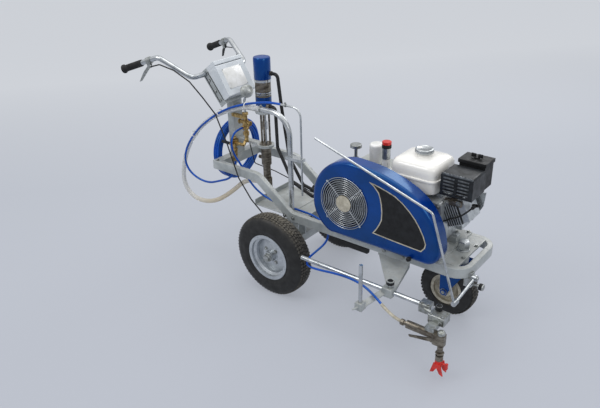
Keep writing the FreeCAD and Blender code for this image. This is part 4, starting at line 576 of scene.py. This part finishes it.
def flexible(curve, body, moving, start, end):
    """The curve as a mesh, and the line it follows. The bodies, start and end are not used."""
    bpy.context.view_layer.update()
    shape = bpy.data.meshes.new_from_object(curve)
    path = [tuple(point) for point in centre_line(curve)]
    name = curve.name
    bpy.data.curves.remove(curve.data)
    shape.name = name
    piece = bpy.data.objects.new(name, shape)
    bpy.context.scene.collection.objects.link(piece)
    shape.shade_smooth()
    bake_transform(piece)
    return piece, path


class STRIPER_OT_hoses(bpy.types.Operator):
    """Clear suction hose, blue return hose, and the blue gun hose with its end sleeve"""
    bl_idname = "striper.hoses"
    bl_label = "Hoses"

    def execute(self, context):
        for name, route, radius, finish, stiffness, lay in (
                ("suction_line", SUCTION_ROUTE, 12.0, "clear_hose", "limp", "hanging"),
                ("return_line", RETURN_ROUTE, 5.5, "blue_hose", "medium", "hanging"),
                ("gun_line", GUN_HOSE_ROUTE, 5.0, "blue_hose", "medium", "loose")):
            piece, path = smooth_curve(name, route, radius, "machine", finish), None
            length = spline_length(piece)
            carried = []
            if route is GUN_HOSE_ROUTE:
                piece, path = flexible(piece, "machine", "arm", *ARM_BEND)
                sleeve = smooth_curve("gun_sleeve", SLEEVE_ROUTE, 6.4, "machine", "rim_cream")
                carried = [flexible(sleeve, "arm", "gun", *GUN_BEND)[0]]
            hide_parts(name.replace("_line", "_hose"))
        return {"FINISHED"}


class STRIPER_OT_hose_coil(bpy.types.Operator):
    """Spare paint hose, wound in loose turns and hung on the column's hook"""
    bl_idname = "striper.hose_coil"
    bl_label = "Hose coil"

    def execute(self, context):
        sizes = context.scene.striper_sizes
        turns = sizes.coil_turns
        hose = sizes.coil_hose * 500
        points = [(-462, 33, 566), (-476, 44, 568), (-494, 66, 560)]
        per_turn = 16
        spacing = hose * 2.08
        # The bundle holds three turns by three, laid from its middle outwards. Each turn runs true, then
        # slides across to the next one's seat in its last part.
        seats = [(across, out) for out in (-1, 0, 1) for across in (-1, 0, 1)]
        order = [4, 1, 0, 3, 6, 7, 8, 5, 2] * 2
        true_part = 0.7
        for turn in range(turns):
            here, following = seats[order[turn]], seats[order[min(turn + 1, turns - 1)]]
            for step in range(per_turn):
                share = step / per_turn
                slide = max(0.0, (share - true_part) / (1 - true_part))
                across = (here[0] + (following[0] - here[0]) * slide) * spacing
                out = (here[1] + (following[1] - here[1]) * slide) * spacing * 0.92
                wobble = 2.2 * math.sin(3 * math.tau * share + 1.7 * turn)
                angle = math.radians(60) + math.tau * share
                radius = COIL_R + out + wobble * 0.6
                points.append((COIL_AT.x + across + 0.3 * wobble, COIL_AT.y + radius * math.cos(angle),
                               COIL_AT.z + radius * math.sin(angle)))
        points.append(points[-1][:1] + points[3][1:])
        piece = smooth_curve("coiled_line", points, hose, "machine", "blue_hose", around=3, along=4)
        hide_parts("paint_hose_coil")
        tail = (Vector(points[-1]) - Vector(points[-2])).normalized()
        bm = bmesh.new()
        bar(bm, Vector(points[-1]) - tail * 16, Vector(points[-1]) + tail * 4, hose + 2.2, 6, chamfer=1)
        bar(bm, Vector(points[-1]) + tail * 2, Vector(points[-1]) + tail * 12, hose, 16, chamfer=1)
        fitting = dress(bm, "coil_swivel", "machine", "brass")
        spline_length(piece)
        return {"FINISHED"}


# ---- wheels ----
# A tyre's radius over its tread, its width, its bead's radius and half its seat's width on the rim.
REAR_TYRE = (REAR_RADIUS, 100.0, 101.0, 44.0)
FRONT_TYRE = (125.0, 82.0, 62.0, 30.0)
# The tread's rows: place across the tyre, width, both as shares, and how far the shoulder drops.
TREAD_ROWS = [(-0.74, 0.2, 4.6), (-0.45, 0.22, 1.4), (-0.15, 0.22, 0.3), (0.15, 0.22, 0.3), (0.45, 0.22, 1.4),
              (0.74, 0.2, 4.6)]


class STRIPER_OT_tyres(bpy.types.Operator):
    """Pneumatic tyres with a block tread and ribbed side walls"""
    bl_idname = "striper.tyres"
    bl_label = "Tyres"

    def execute(self, context):
        sizes = context.scene.striper_sizes
        depth = sizes.tread_depth * 1000
        for side, name in ((-1, "near"), (1, "far")):
            centre = Vector((0, side * REAR_TRACK_HALF, REAR_RADIUS))
            self.tyre(f"{name}_tyre", f"{name}_wheel", centre, REAR_TYRE, depth, sizes.tread_blocks)
        self.tyre("front_tyre", "front_wheel", FRONT_WHEEL, FRONT_TYRE, depth * 0.7,
                  int(sizes.tread_blocks * 0.66))
        return {"FINISHED"}

    def tyre(self, name, body, centre, size, depth, blocks):
        """A tyre with its blocks, in place of the frame's plain one."""
        radius, width, bead, seat = size
        half, base, wall = width / 2, radius - depth, radius - bead
        side_wall = [(0, -seat + 0.6), (0.14, -seat + 0.3), (0.2, -half + 3), (0.36, -half), (0.4, -half),
                     (0.43, -half + 1.2), (0.62, -half + 1.5), (0.78, -half + 6)]
        profile = [(bead + share * wall, y) for share, y in side_wall]
        profile += [(base - 7, -half + 13), (base - 2.5, -half * 0.55), (base, -half * 0.2)]
        profile += [(r, -y) for r, y in reversed(profile)]
        profile += [(bead + 8, seat - 12), (bead + 8, -seat + 12)]
        bm = bmesh.new()
        spun(bm, profile, centre, (0, 1, 0), 96)
        pitch = math.tau / blocks
        length = 0.7 * pitch * base
        for index in range(blocks):
            for row, (across, wide, drop) in enumerate(TREAD_ROWS):
                odd = row % 2
                top = radius - drop * radius / REAR_RADIUS
                y = across * half * 0.86
                block = box(bm, (top - depth * 1.5, top), (y - wide * half / 2, y + wide * half / 2),
                            (-length / 2, length / 2))
                round_tyre = Matrix.Rotation(pitch * (index + 0.5 * odd), 4, "Y")
                skew = Matrix.Rotation(0.5 if odd else -0.5, 4, "X")
                bmesh.ops.transform(bm, matrix=Matrix.Translation(centre) @ round_tyre @ skew, verts=block)
                for face in {face for vert in block for face in vert.link_faces}:
                    face.material_index = 1
        dress(bm, f"{name}_rubber", body, "tyre", "tread", stands_for=(name,), smooth=35)


class STRIPER_OT_wheel_fittings(bpy.types.Operator):
    """Rim bolts, valves and grease caps of the rear wheels, and the front wheel's caps"""
    bl_idname = "striper.wheel_fittings"
    bl_label = "Wheel fittings"

    def execute(self, context):
        bolts, bolt_circle = 4, 40
        for side, name in ((-1, "near"), (1, "far")):
            bm = bmesh.new()
            face = side * (REAR_TRACK_HALF + 20)
            for index in range(bolts):
                angle = math.tau * (index + 0.5) / bolts
                at = (bolt_circle * math.cos(angle), face, REAR_RADIUS + bolt_circle * math.sin(angle))
                bolt(bm, at, (0, side, 0), 12, 7)
            valve = Vector((66, face, REAR_RADIUS + 52))
            bar(bm, valve, valve + Vector((8, side * 22, 6)), 3.2, 12, 2.6)
            dress(bm, f"{name}_rim_bolts", f"{name}_wheel", "zinc")
            bm = bmesh.new()
            spun(bm, [(0.02, 0), (21, 0), (21, 4), (17, 5), (16, 10), (12, 14), (0.02, 15.4)],
                 (0, side * (REAR_TRACK_HALF + 42.6), REAR_RADIUS), (0, side, 0), 32)
            dress(bm, f"{name}_grease_cap", "machine", "zinc")
        bm = bmesh.new()
        for side in (-1, 1):
            spun(bm, [(0.02, 0), (15, 0), (15, 3), (9, 4), (8, 9), (0.02, 10)],
                 FRONT_WHEEL + Vector((0, side * 53, 0)), (0, side, 0), 24)
        dress(bm, "front_axle_caps", "caster", "zinc")
        bm = bmesh.new()
        spun(bm, [(0.02, 0), (26, 0), (30, 3), (28, 9), (12, 12), (0.02, 12)],
             FRONT_WHEEL + Vector((0, -34, 0)), NEAR_SIDE, 32)
        dress(bm, "front_hub_cap", "front_wheel", "rim_cream")
        return {"FINISHED"}


# ---- belt cover ----
PANEL = [(475, 671), (502, 668), (527, 662), (562, 653), (596, 642), (632, 621), (666, 593), (692, 566),
         (713, 537), (731, 506), (744, 472), (741, 454), (725, 433), (650, 436), (573, 440), (497, 445),
         (515, 470), (529, 497), (537, 518), (538, 552), (534, 585), (528, 612), (519, 634), (499, 655)]


class STRIPER_OT_cover_trim(bpy.types.Operator):
    """Bare black panel with a cream border, latch knob, and the disc in the middle of the fan's grille"""
    bl_idname = "striper.cover_trim"
    bl_label = "Cover trim"

    def execute(self, context):
        bm = bmesh.new()
        sheet(bm, PANEL, -211.8, 1.4)
        top = next(face for face in bm.faces if face.normal.y < -0.9)
        border = bmesh.ops.inset_region(bm, faces=[top], thickness=4.5, depth=0.0, use_even_offset=True)
        for face in [*bm.faces, *border["faces"]]:
            face.material_index = 1
        top.material_index = 0
        bmesh.ops.translate(bm, verts=top.verts, vec=(0, 0.5, 0))
        dress(bm, "cover_panel", "machine", "black_plastic", "rim_cream", smooth=30)
        bm = bmesh.new()
        bar(bm, (679, -211, 390), (679, -222, 390), 6, 20, chamfer=1)
        bar(bm, (679, -220, 390), (679, -234, 390), 11, 12, 9, chamfer=2)
        dress(bm, "cover_latch_knob", "machine", "black_plastic")
        bm = bmesh.new()
        spun(bm, [(0.02, 0), (37, 0), (37, 1.2), (34, 2.0), (0.02, 2.2)], (355, -217.6, 541), NEAR_SIDE, 40)
        dress(bm, "grille_disc", "machine", "rim_cream")
        return {"FINISHED"}


# ---- engine ----
TANK_X, TANK_HALF = (490.0, 712.0), 105.0
FUEL_CAP = Vector((600.0, 4.0, 0.0))


def tank_ring(bm, inset, z, corner, sides=7):
    """A rectangle with round corners at a height: a ring of vertices joined by edges."""
    x = (TANK_X[0] + inset, TANK_X[1] - inset)
    half = TANK_HALF - inset
    spots = []
    for sx, sy, start in ((1, 1, 0), (-1, 1, 90), (-1, -1, 180), (1, -1, 270)):
        cx = (x[1] if sx > 0 else x[0]) - sx * corner
        cy = sy * (half - corner)
        for step in range(sides):
            angle = math.radians(start + 90 * step / (sides - 1))
            spots.append((cx + corner * math.cos(angle), cy + corner * math.sin(angle), z))
    verts = [bm.verts.new(spot) for spot in spots]
    return [bm.edges.new(pair) for pair in zip(verts, verts[1:] + verts[:1])]


class STRIPER_OT_fuel_tank(bpy.types.Operator):
    """Pressed fuel tank with a crowned top and a folded seam, and its ribbed cap"""
    bl_idname = "striper.fuel_tank"
    bl_label = "Fuel tank"

    def execute(self, context):
        bm = bmesh.new()
        levels = [(44, 613, 20), (20, 616, 28), (9, 626, 32), (6, 645, 34), (6, 674, 34), (1.0, 675.5, 34),
                  (0.4, 677, 34), (0.4, 683, 34), (1.0, 684.5, 34), (6, 686, 34), (6, 705, 34), (8, 722, 34),
                  (12, 732, 34), (19, 739, 34), (29, 743.5, 34), (50, 747, 30), (75, 749.4, 22)]
        rings = [tank_ring(bm, *level) for level in levels]
        for lower, upper in zip(rings, rings[1:]):
            bmesh.ops.bridge_loops(bm, edges=lower + upper)
        bmesh.ops.contextual_create(bm, geom=rings[0])
        bmesh.ops.contextual_create(bm, geom=rings[-1])
        bmesh.ops.recalc_face_normals(bm, faces=bm.faces)
        spun(bm, [(30, 746), (35, 748), (35, 755), (32, 757.3), (30, 757.3)], FUEL_CAP, UP, 48)
        dress(bm, "fuel_tank_shell", "machine", "tank_white", stands_for=("fuel_tank",), smooth=32)
        bm = bmesh.new()
        spun(bm, [(0.02, 757.6), (37.4, 757.6), (38.3, 759), (38.3, 770), (36.4, 773.6), (32, 775.2),
                  (30, 773.8), (0.02, 773.4)], FUEL_CAP, UP, 72)
        ribs = 60
        for index in range(ribs):
            angle = math.tau * index / ribs
            rib = FUEL_CAP + 38.1 * Vector((math.cos(angle), math.sin(angle), 0))
            bar(bm, rib + Vector((0, 0, 759.5)), rib + Vector((0, 0, 769.5)), 0.6, 6)
        dress(bm, "fuel_cap_ribbed", "fuel_cap_body", "tube", stands_for=("fuel_cap",))
        return {"FINISHED"}


CRANK, CYLINDER_LEAN = (665.0, 510.0), math.radians(-25.0)
SHIELD = [(766, 598), (856, 622), (850, 560), (812, 486), (790, 478), (764, 520)]


class STRIPER_OT_engine_details(bpy.types.Operator):
    """Bolts, exhaust flange, painted shade between the cylinder's fins, heat shield, spark plug cap and lead,
    filler plug, and louvres with painted highlights on their lips
    """
    bl_idname = "striper.engine_details"
    bl_label = "Engine details"

    def execute(self, context):
        bm = bmesh.new()
        for x, z in ((751, 604), (800, 611)):
            bolt(bm, (x, -74, z), NEAR_SIDE, 12, 8)
        for x, z in ((604, 420), (604, 588), (728, 420), (728, 588), (700, 560)):
            bolt(bm, (x, -100, z), NEAR_SIDE, 11, 7)
        dress(bm, "engine_bolts", "machine", "zinc")
        bm = bmesh.new()
        box(bm, (738, 814), (-74, -62), (594, 621), 5)
        bar(bm, (776, -68, 608), (776, -34, 640), 15, 24)
        dress(bm, "exhaust_flange", "machine", "steel")
        bm = bmesh.new()
        # Painted shade: a dark block fills the gaps between the cylinder's fins, so the fins read as light edges
        # over shade.
        box(bm, (85, 150), (-67, 46), (-55.5, 55.5), 3)
        lean = Matrix.Translation((CRANK[0], 0, CRANK[1])) @ Matrix.Rotation(CYLINDER_LEAN, 4, "Y")
        bmesh.ops.transform(bm, matrix=lean, verts=bm.verts)
        dress(bm, "fin_gap_shade_block", "machine", "black_paint")
        bm = bmesh.new()
        sheet(bm, SHIELD, 59.8, 1.2)
        dress(bm, "shield_plate", "machine", "tube", smooth=25)
        bm = bmesh.new()
        bar(bm, (838, -16, 590), (868, -30, 604), 8, 16, 6, chamfer=1)
        bar(bm, (850, -22, 596), (852, -58, 600), 7, 16, chamfer=2)
        dress(bm, "spark_plug_cap", "machine", "black_rubber")
        smooth_curve("spark_lead", [(852, -56, 600), (848, -76, 596), (820, -84, 566), (772, -84, 540),
                                    (742, -90, 520), (735, -98, 500)], 3.4, "machine", "black_rubber")
        bm = bmesh.new()
        spun(bm, [(0.02, 0), (11, 0), (11, 8), (15, 10), (15, 20), (12, 23), (0.02, 23)], (716, -100, 436),
             (0.3, -1, 0.25), 12)
        dress(bm, "oil_filler_plug", "machine", "black_plastic")
        bm = bmesh.new()
        spun(bm, [(0.02, 0), (12, 0), (12, 6), (0.02, 8)], (804, 54, 762), UP, 20)
        for side in (-1, 1):
            box(bm, (804 + side * 4, 804 + side * 24), (51, 57), (765, 781), 2.2)
        dress(bm, "cleaner_wing_nut", "machine", "black_plastic")
        bm = bmesh.new()
        box(bm, (762, 846), (8, 14), (668, 736), 5)
        dress(bm, "cleaner_side_boss", "machine", "black_plastic")
        bm = bmesh.new()
        # Painted highlight: the louvres' lips, the perforations and the top strip take a lighter grey than the
        # black guard, standing in for light on their edges.
        for column in range(2):
            for row in range(5):
                x, z = 744 + 60 * column, 664 + 14 * row
                box(bm, (x, x + 46), (-109, -104.6), (z, z + 6), 1.6)
        for index in range(9):
            x = 742 + 13 * index
            box(bm, (x, x + 8), (-107, -99), (738, 741.6), 1)
        box(bm, (734, 864), (-107.5, -103), (734, 741), 1.5)
        dress(bm, "guard_louvres_painted_highlight", "machine", "cast_grey")
        return {"FINISHED"}


# ---- column and controls ----
SLANT = math.radians(38.0)
CONSOLE_AT = Vector((-482.0, 0.0, 887.0))
# The box's front leans by 25 in a height of 196.
FRONT_LEAN = 25.0 / 196.0
GRIP_END, BAR_PEAK = (-910, 295, 953), (-705, 244, 1026)


class STRIPER_OT_console_details(bpy.types.Operator):
    """Blank plate, screws and dark strips of painted shade along the control box's sides, its channel's bolts, and
    the gauge's dome
    """
    bl_idname = "striper.console_details"
    bl_label = "Console details"

    def execute(self, context):
        tilt = Matrix.Translation(CONSOLE_AT) @ Matrix.Rotation(-SLANT, 4, "Y")
        front = Matrix.Rotation(math.atan(FRONT_LEAN), 4, "Y")
        bm = bmesh.new()
        plate = box(bm, (-0.8, 0.8), (-66, 60), (-52, 50), 0.7)
        bmesh.ops.transform(bm, matrix=tilt @ Matrix.Translation((54.2, 0, 0)) @ front, verts=plate)
        dress(bm, "console_plate", "machine", "filter_white")
        bm = bmesh.new()
        ahead = (tilt.to_3x3() @ Vector((1, 0, -0.12))).normalized()
        for y, up in ((-62, -48), (56, -48), (-62, 46), (56, 46)):
            at = tilt @ Vector((55 + up * FRONT_LEAN, y, up))
            bar(bm, at, at + ahead * 1.8, 3.2, 14, 2.4)
        for side in (-1, 1):
            for up in (-70, -20, 40):
                bolt(bm, tilt @ Vector((-20, side * 95, up)), (0, side, 0), 10, 6)
        dress(bm, "console_screws", "machine", "zinc")
        bm = bmesh.new()
        # Painted shade: thin black strips stand in the gaps between the box and its channel, where shade falls.
        for start, end, half in ((-34, -30, 76), (-4, -1, 78)):
            box(bm, (start, end), (-96.6, -94.6), (-half, half), 0.5)
        bmesh.ops.transform(bm, matrix=tilt, verts=bm.verts)
        dress(bm, "console_shade_strips", "machine", "black_rubber")
        bm = bmesh.new()
        spun(bm, [(31.2, -22), (31.2, -1), (30.4, 1.4), (27, 1.8), (22, 4.2), (12, 7.2), (0.02, 8.2),
                  (0.02, 6), (12, 5), (22, 1), (26, -2), (26, -22)],
             (-326, -46, 876), (0.62, -0.68, 0.38), 48)
        dress(bm, "gauge_dome", "machine", "zinc")
        return {"FINISHED"}


class STRIPER_OT_grips(bpy.types.Operator):
    """Ribbed rubber hand grips"""
    bl_idname = "striper.grips"
    bl_label = "Grips"

    def execute(self, context):
        bm = bmesh.new()
        for side in (-1, 1):
            end, peak = (Vector((x, side * y, z)) for x, y, z in (GRIP_END, BAR_PEAK))
            outward = (end - peak).normalized()
            start = end - outward * 118
            profile = [(12.6, 0), (15.2, 0), (16.6, 2)]
            for index in range(13):
                along = 8 + index * 8
                profile += [(16.8, along), (16.8, along + 3.6), (15.4, along + 4.6), (15.4, along + 7.0)]
            profile += [(17.5, 113), (21.8, 117), (21.8, 122), (19, 124), (0.02, 124), (0.02, 120.5),
                        (12.6, 120.5)]
            spun(bm, profile, start, outward, 32)
        dress(bm, "ribbed_grips", "machine", "black_rubber", stands_for=("hand_grips",))
        return {"FINISHED"}


PUMP, OIL_NECK = (-262, 0, 0), (424, 2, 0)
# The brass fittings' hexagons: place, axis, width across flats and height.
HEXAGONS = [
    ((-352, -40, 750), UP, 27, 13), ((-352, -40, 676), UP, 27, 12), ((-386, -40, 711), (-1, 0, 0), 23, 8),
    ((-326, -40, 711), (1, 0, 0), 23, 8), ((-352, -52, 690), NEAR_SIDE, 20, 11),
    ((-418, -62, 566), (0, 0, -1), 28, 12), ((-418, -62, 622), UP, 24, 8)]


class STRIPER_OT_fluid_fittings(bpy.types.Operator):
    """Blue cap and bands on the pump, brass hexagons, hose clamps and ties, and the oil neck's sleeve"""
    bl_idname = "striper.fluid_fittings"
    bl_label = "Fluid fittings"

    def execute(self, context):
        bm = bmesh.new()
        spun(bm, [(0.02, 1040.4), (28, 1040.2), (38, 1037.5), (40.8, 1033), (40.8, 936), (39.6, 934),
                  (38.2, 934), (38.2, 1030), (0.02, 1034.9)], PUMP, UP, 64)
        dress(bm, "pump_cap_sleeve", "machine", "cover_blue")
        bm = bmesh.new()
        for low, high, radius in ((922, 933.5, 40.4), (868, 874, 38.9), (860, 864, 38.9), (796, 803, 39.4)):
            band(bm, PUMP, 37.5, radius, low, high)
        dress(bm, "pump_bands", "machine", "chrome")
        bm = bmesh.new()
        band(bm, PUMP, 37.9, 38.7, 806, 850)
        dress(bm, "pump_blue_band", "machine", "cover_blue")
        bm = bmesh.new()
        for at, axis, across, height in HEXAGONS:
            bar(bm, Vector(at), Vector(at) + Vector(axis) * height, across / math.sqrt(3), 6, chamfer=1)
        dress(bm, "brass_hexagons", "machine", "brass")
        bm = bmesh.new()
        for (x, y, z), radius in (((-176, -112, 828), 14.4), ((-312, 0, 388), 14.4), ((-30, -112, 872), 7.4)):
            band(bm, (x, y, z), radius - 2, radius, 0, 9, axis=(-1, 0, 0), steps=32)
            box(bm, (x - 8.5, x - 0.5), (y - 4, y + 4), (z + radius - 1, z + radius + 6), 1)
        dress(bm, "hose_clamps", "machine", "zinc")
        bm = bmesh.new()
        for x, y, z, axis in ((-440, -123, 768, (-0.83, 0, -0.55)), (-640, -123, 618, (-0.7, 0, -0.75)),
                              (-262, -118, 834, (-0.96, 0, -0.2))):
            ring = band(bm, (x, y, z), 15.5, 17, -2.4, 2.4, axis=axis, steps=28)
            there, back = Matrix.Translation((x, y, z)), Matrix.Translation((-x, -y, -z))
            bmesh.ops.transform(bm, matrix=there @ Matrix.Diagonal((1, 1.25, 1, 1)) @ back, verts=ring)
        dress(bm, "white_ties", "machine", "filter_white")
        bm = bmesh.new()
        band(bm, OIL_NECK, 17.1, 18.4, 690, 738, steps=40)
        dress(bm, "neck_sleeve", "machine", "tube")
        bm = bmesh.new()
        band(bm, OIL_NECK, 17.1, 20.4, 738.4, 753, steps=40)
        dress(bm, "neck_ring", "machine", "black_rubber")
        return {"FINISHED"}


class STRIPER_OT_gun_details(bpy.types.Operator):
    """Gun body fittings, clamp screws, and the knobs of the gun's and the arm's clamps"""
    bl_idname = "striper.gun_details"
    bl_label = "Gun details"

    def execute(self, context):
        bm = bmesh.new()
        spun(bm, [(0.02, 0), (9, 0), (9, 10), (12.5, 12), (12.5, 24), (8, 27), (0.02, 27)], (796, -430, 249),
             (-1, 0, 0), 18)
        bar(bm, (938, -430, 178), (938, -430, 186), 17, 6, chamfer=1)
        bar(bm, (938, -430, 212), (938, -430, 224), 14, 6, chamfer=1)
        dress(bm, "gun_fittings", "gun", "steel")
        bm = bmesh.new()
        for x, y in ((812, -348), (836, -348), (872, -390), (920, -390)):
            bolt(bm, (x, y, 305), UP, 9, 6)
        for x in (874, 918):
            bolt(bm, (x, -398, 288), NEAR_SIDE, 10, 7)
        spun(bm, [(0.02, 0), (15, 0), (15, 9), (12.5, 13), (7, 15.4), (0.02, 16)], (938, -430, 264.4), UP, 28)
        dress(bm, "gun_clamp_screws", "gun", "zinc")
        bm = bmesh.new()
        spun(bm, [(0.02, 0), (12, 0), (14.5, 3), (14.5, 16), (10, 20), (0.02, 21)], (884, -350, 304), UP, 8)
        dress(bm, "gun_clamp_knob", "gun", "black_plastic", smooth=25)
        bm = bmesh.new()
        spun(bm, [(0.02, 0), (14, 0), (16.5, 3), (16.5, 15), (11, 20), (0.02, 21)], (661, -330, 318), UP, 8)
        spun(bm, [(0.02, 0), (12, 0), (14.5, 3), (14.5, 15), (10, 19), (0.02, 20)], (934, -107, 298),
             (1, 0, 0), 8)
        dress(bm, "clamp_knobs", "machine", "black_plastic", smooth=25)
        return {"FINISHED"}


class STRIPER_OT_frame_bolts(bpy.types.Operator):
    """Bolt heads on the rails, the deck and the brackets, and the nut over the caster's swivel"""
    bl_idname = "striper.frame_bolts"
    bl_label = "Frame bolts"

    def execute(self, context):
        bm = bmesh.new()
        for x in (-20, 30):
            bolt(bm, (x, -160, 349), NEAR_SIDE, 12, 7)
        for x, y, z in ((545, 144, 377.5), (765, 144, 377.5), (765, -148, 377.5), (545, -148, 377.5),
                        (745, -60, 372), (745, 60, 372), (840, -60, 372), (840, 60, 372),
                        (-460, -148, 522), (-460, 148, 522)):
            bolt(bm, (x, y, z), UP, 12, 7)
        dress(bm, "frame_bolt_heads", "machine", "zinc")
        bm = bmesh.new()
        bar(bm, (810, 0, 372.6), (810, 0, 378), 27, 32, chamfer=1)
        spun(bm, [(0.02, 0), (25, 0), (25.6, 3), (25.6, 34), (22.5, 38), (0.02, 38.4)], (810, 0, 378), UP, 6)
        dress(bm, "swivel_nut", "caster", "tube", smooth=25)
        return {"FINISHED"}


OPERATORS = (
    STRIPER_OT_stage, STRIPER_OT_frame_finishes, STRIPER_OT_hoses, STRIPER_OT_hose_coil, STRIPER_OT_tyres,
    STRIPER_OT_wheel_fittings, STRIPER_OT_cover_trim, STRIPER_OT_fuel_tank, STRIPER_OT_engine_details,
    STRIPER_OT_console_details, STRIPER_OT_grips, STRIPER_OT_fluid_fittings, STRIPER_OT_gun_details,
    STRIPER_OT_frame_bolts)


class STRIPER_PT_panel(bpy.types.Panel):
    """Lists the machine's colours, sizes and pieces"""
    bl_idname = "STRIPER_PT_panel"
    bl_label = "Line striping machine"
    bl_space_type = "VIEW_3D"
    bl_region_type = "UI"
    bl_category = "Striper"

    def draw(self, context):
        for group in (context.scene.striper_colours, context.scene.striper_sizes):
            for name in group.bl_rna.properties.keys():
                if name not in ("rna_type", "name"):
                    self.layout.prop(group, name)
        for operator in OPERATORS:
            self.layout.operator(operator.bl_idname)


CLASSES = (StriperColours, StriperSizes, *OPERATORS, STRIPER_PT_panel)


def register():
    for item in CLASSES:
        bpy.utils.register_class(item)
    bpy.types.Scene.striper_colours = PointerProperty(type=StriperColours)
    bpy.types.Scene.striper_sizes = PointerProperty(type=StriperSizes)


def unregister():
    del bpy.types.Scene.striper_sizes
    del bpy.types.Scene.striper_colours
    for item in reversed(CLASSES):
        bpy.utils.unregister_class(item)


def main():
    register()
    for operator in OPERATORS:
        group, name = operator.bl_idname.split(".")
        getattr(getattr(bpy.ops, group), name)()


if __name__ == "__main__":
    main()
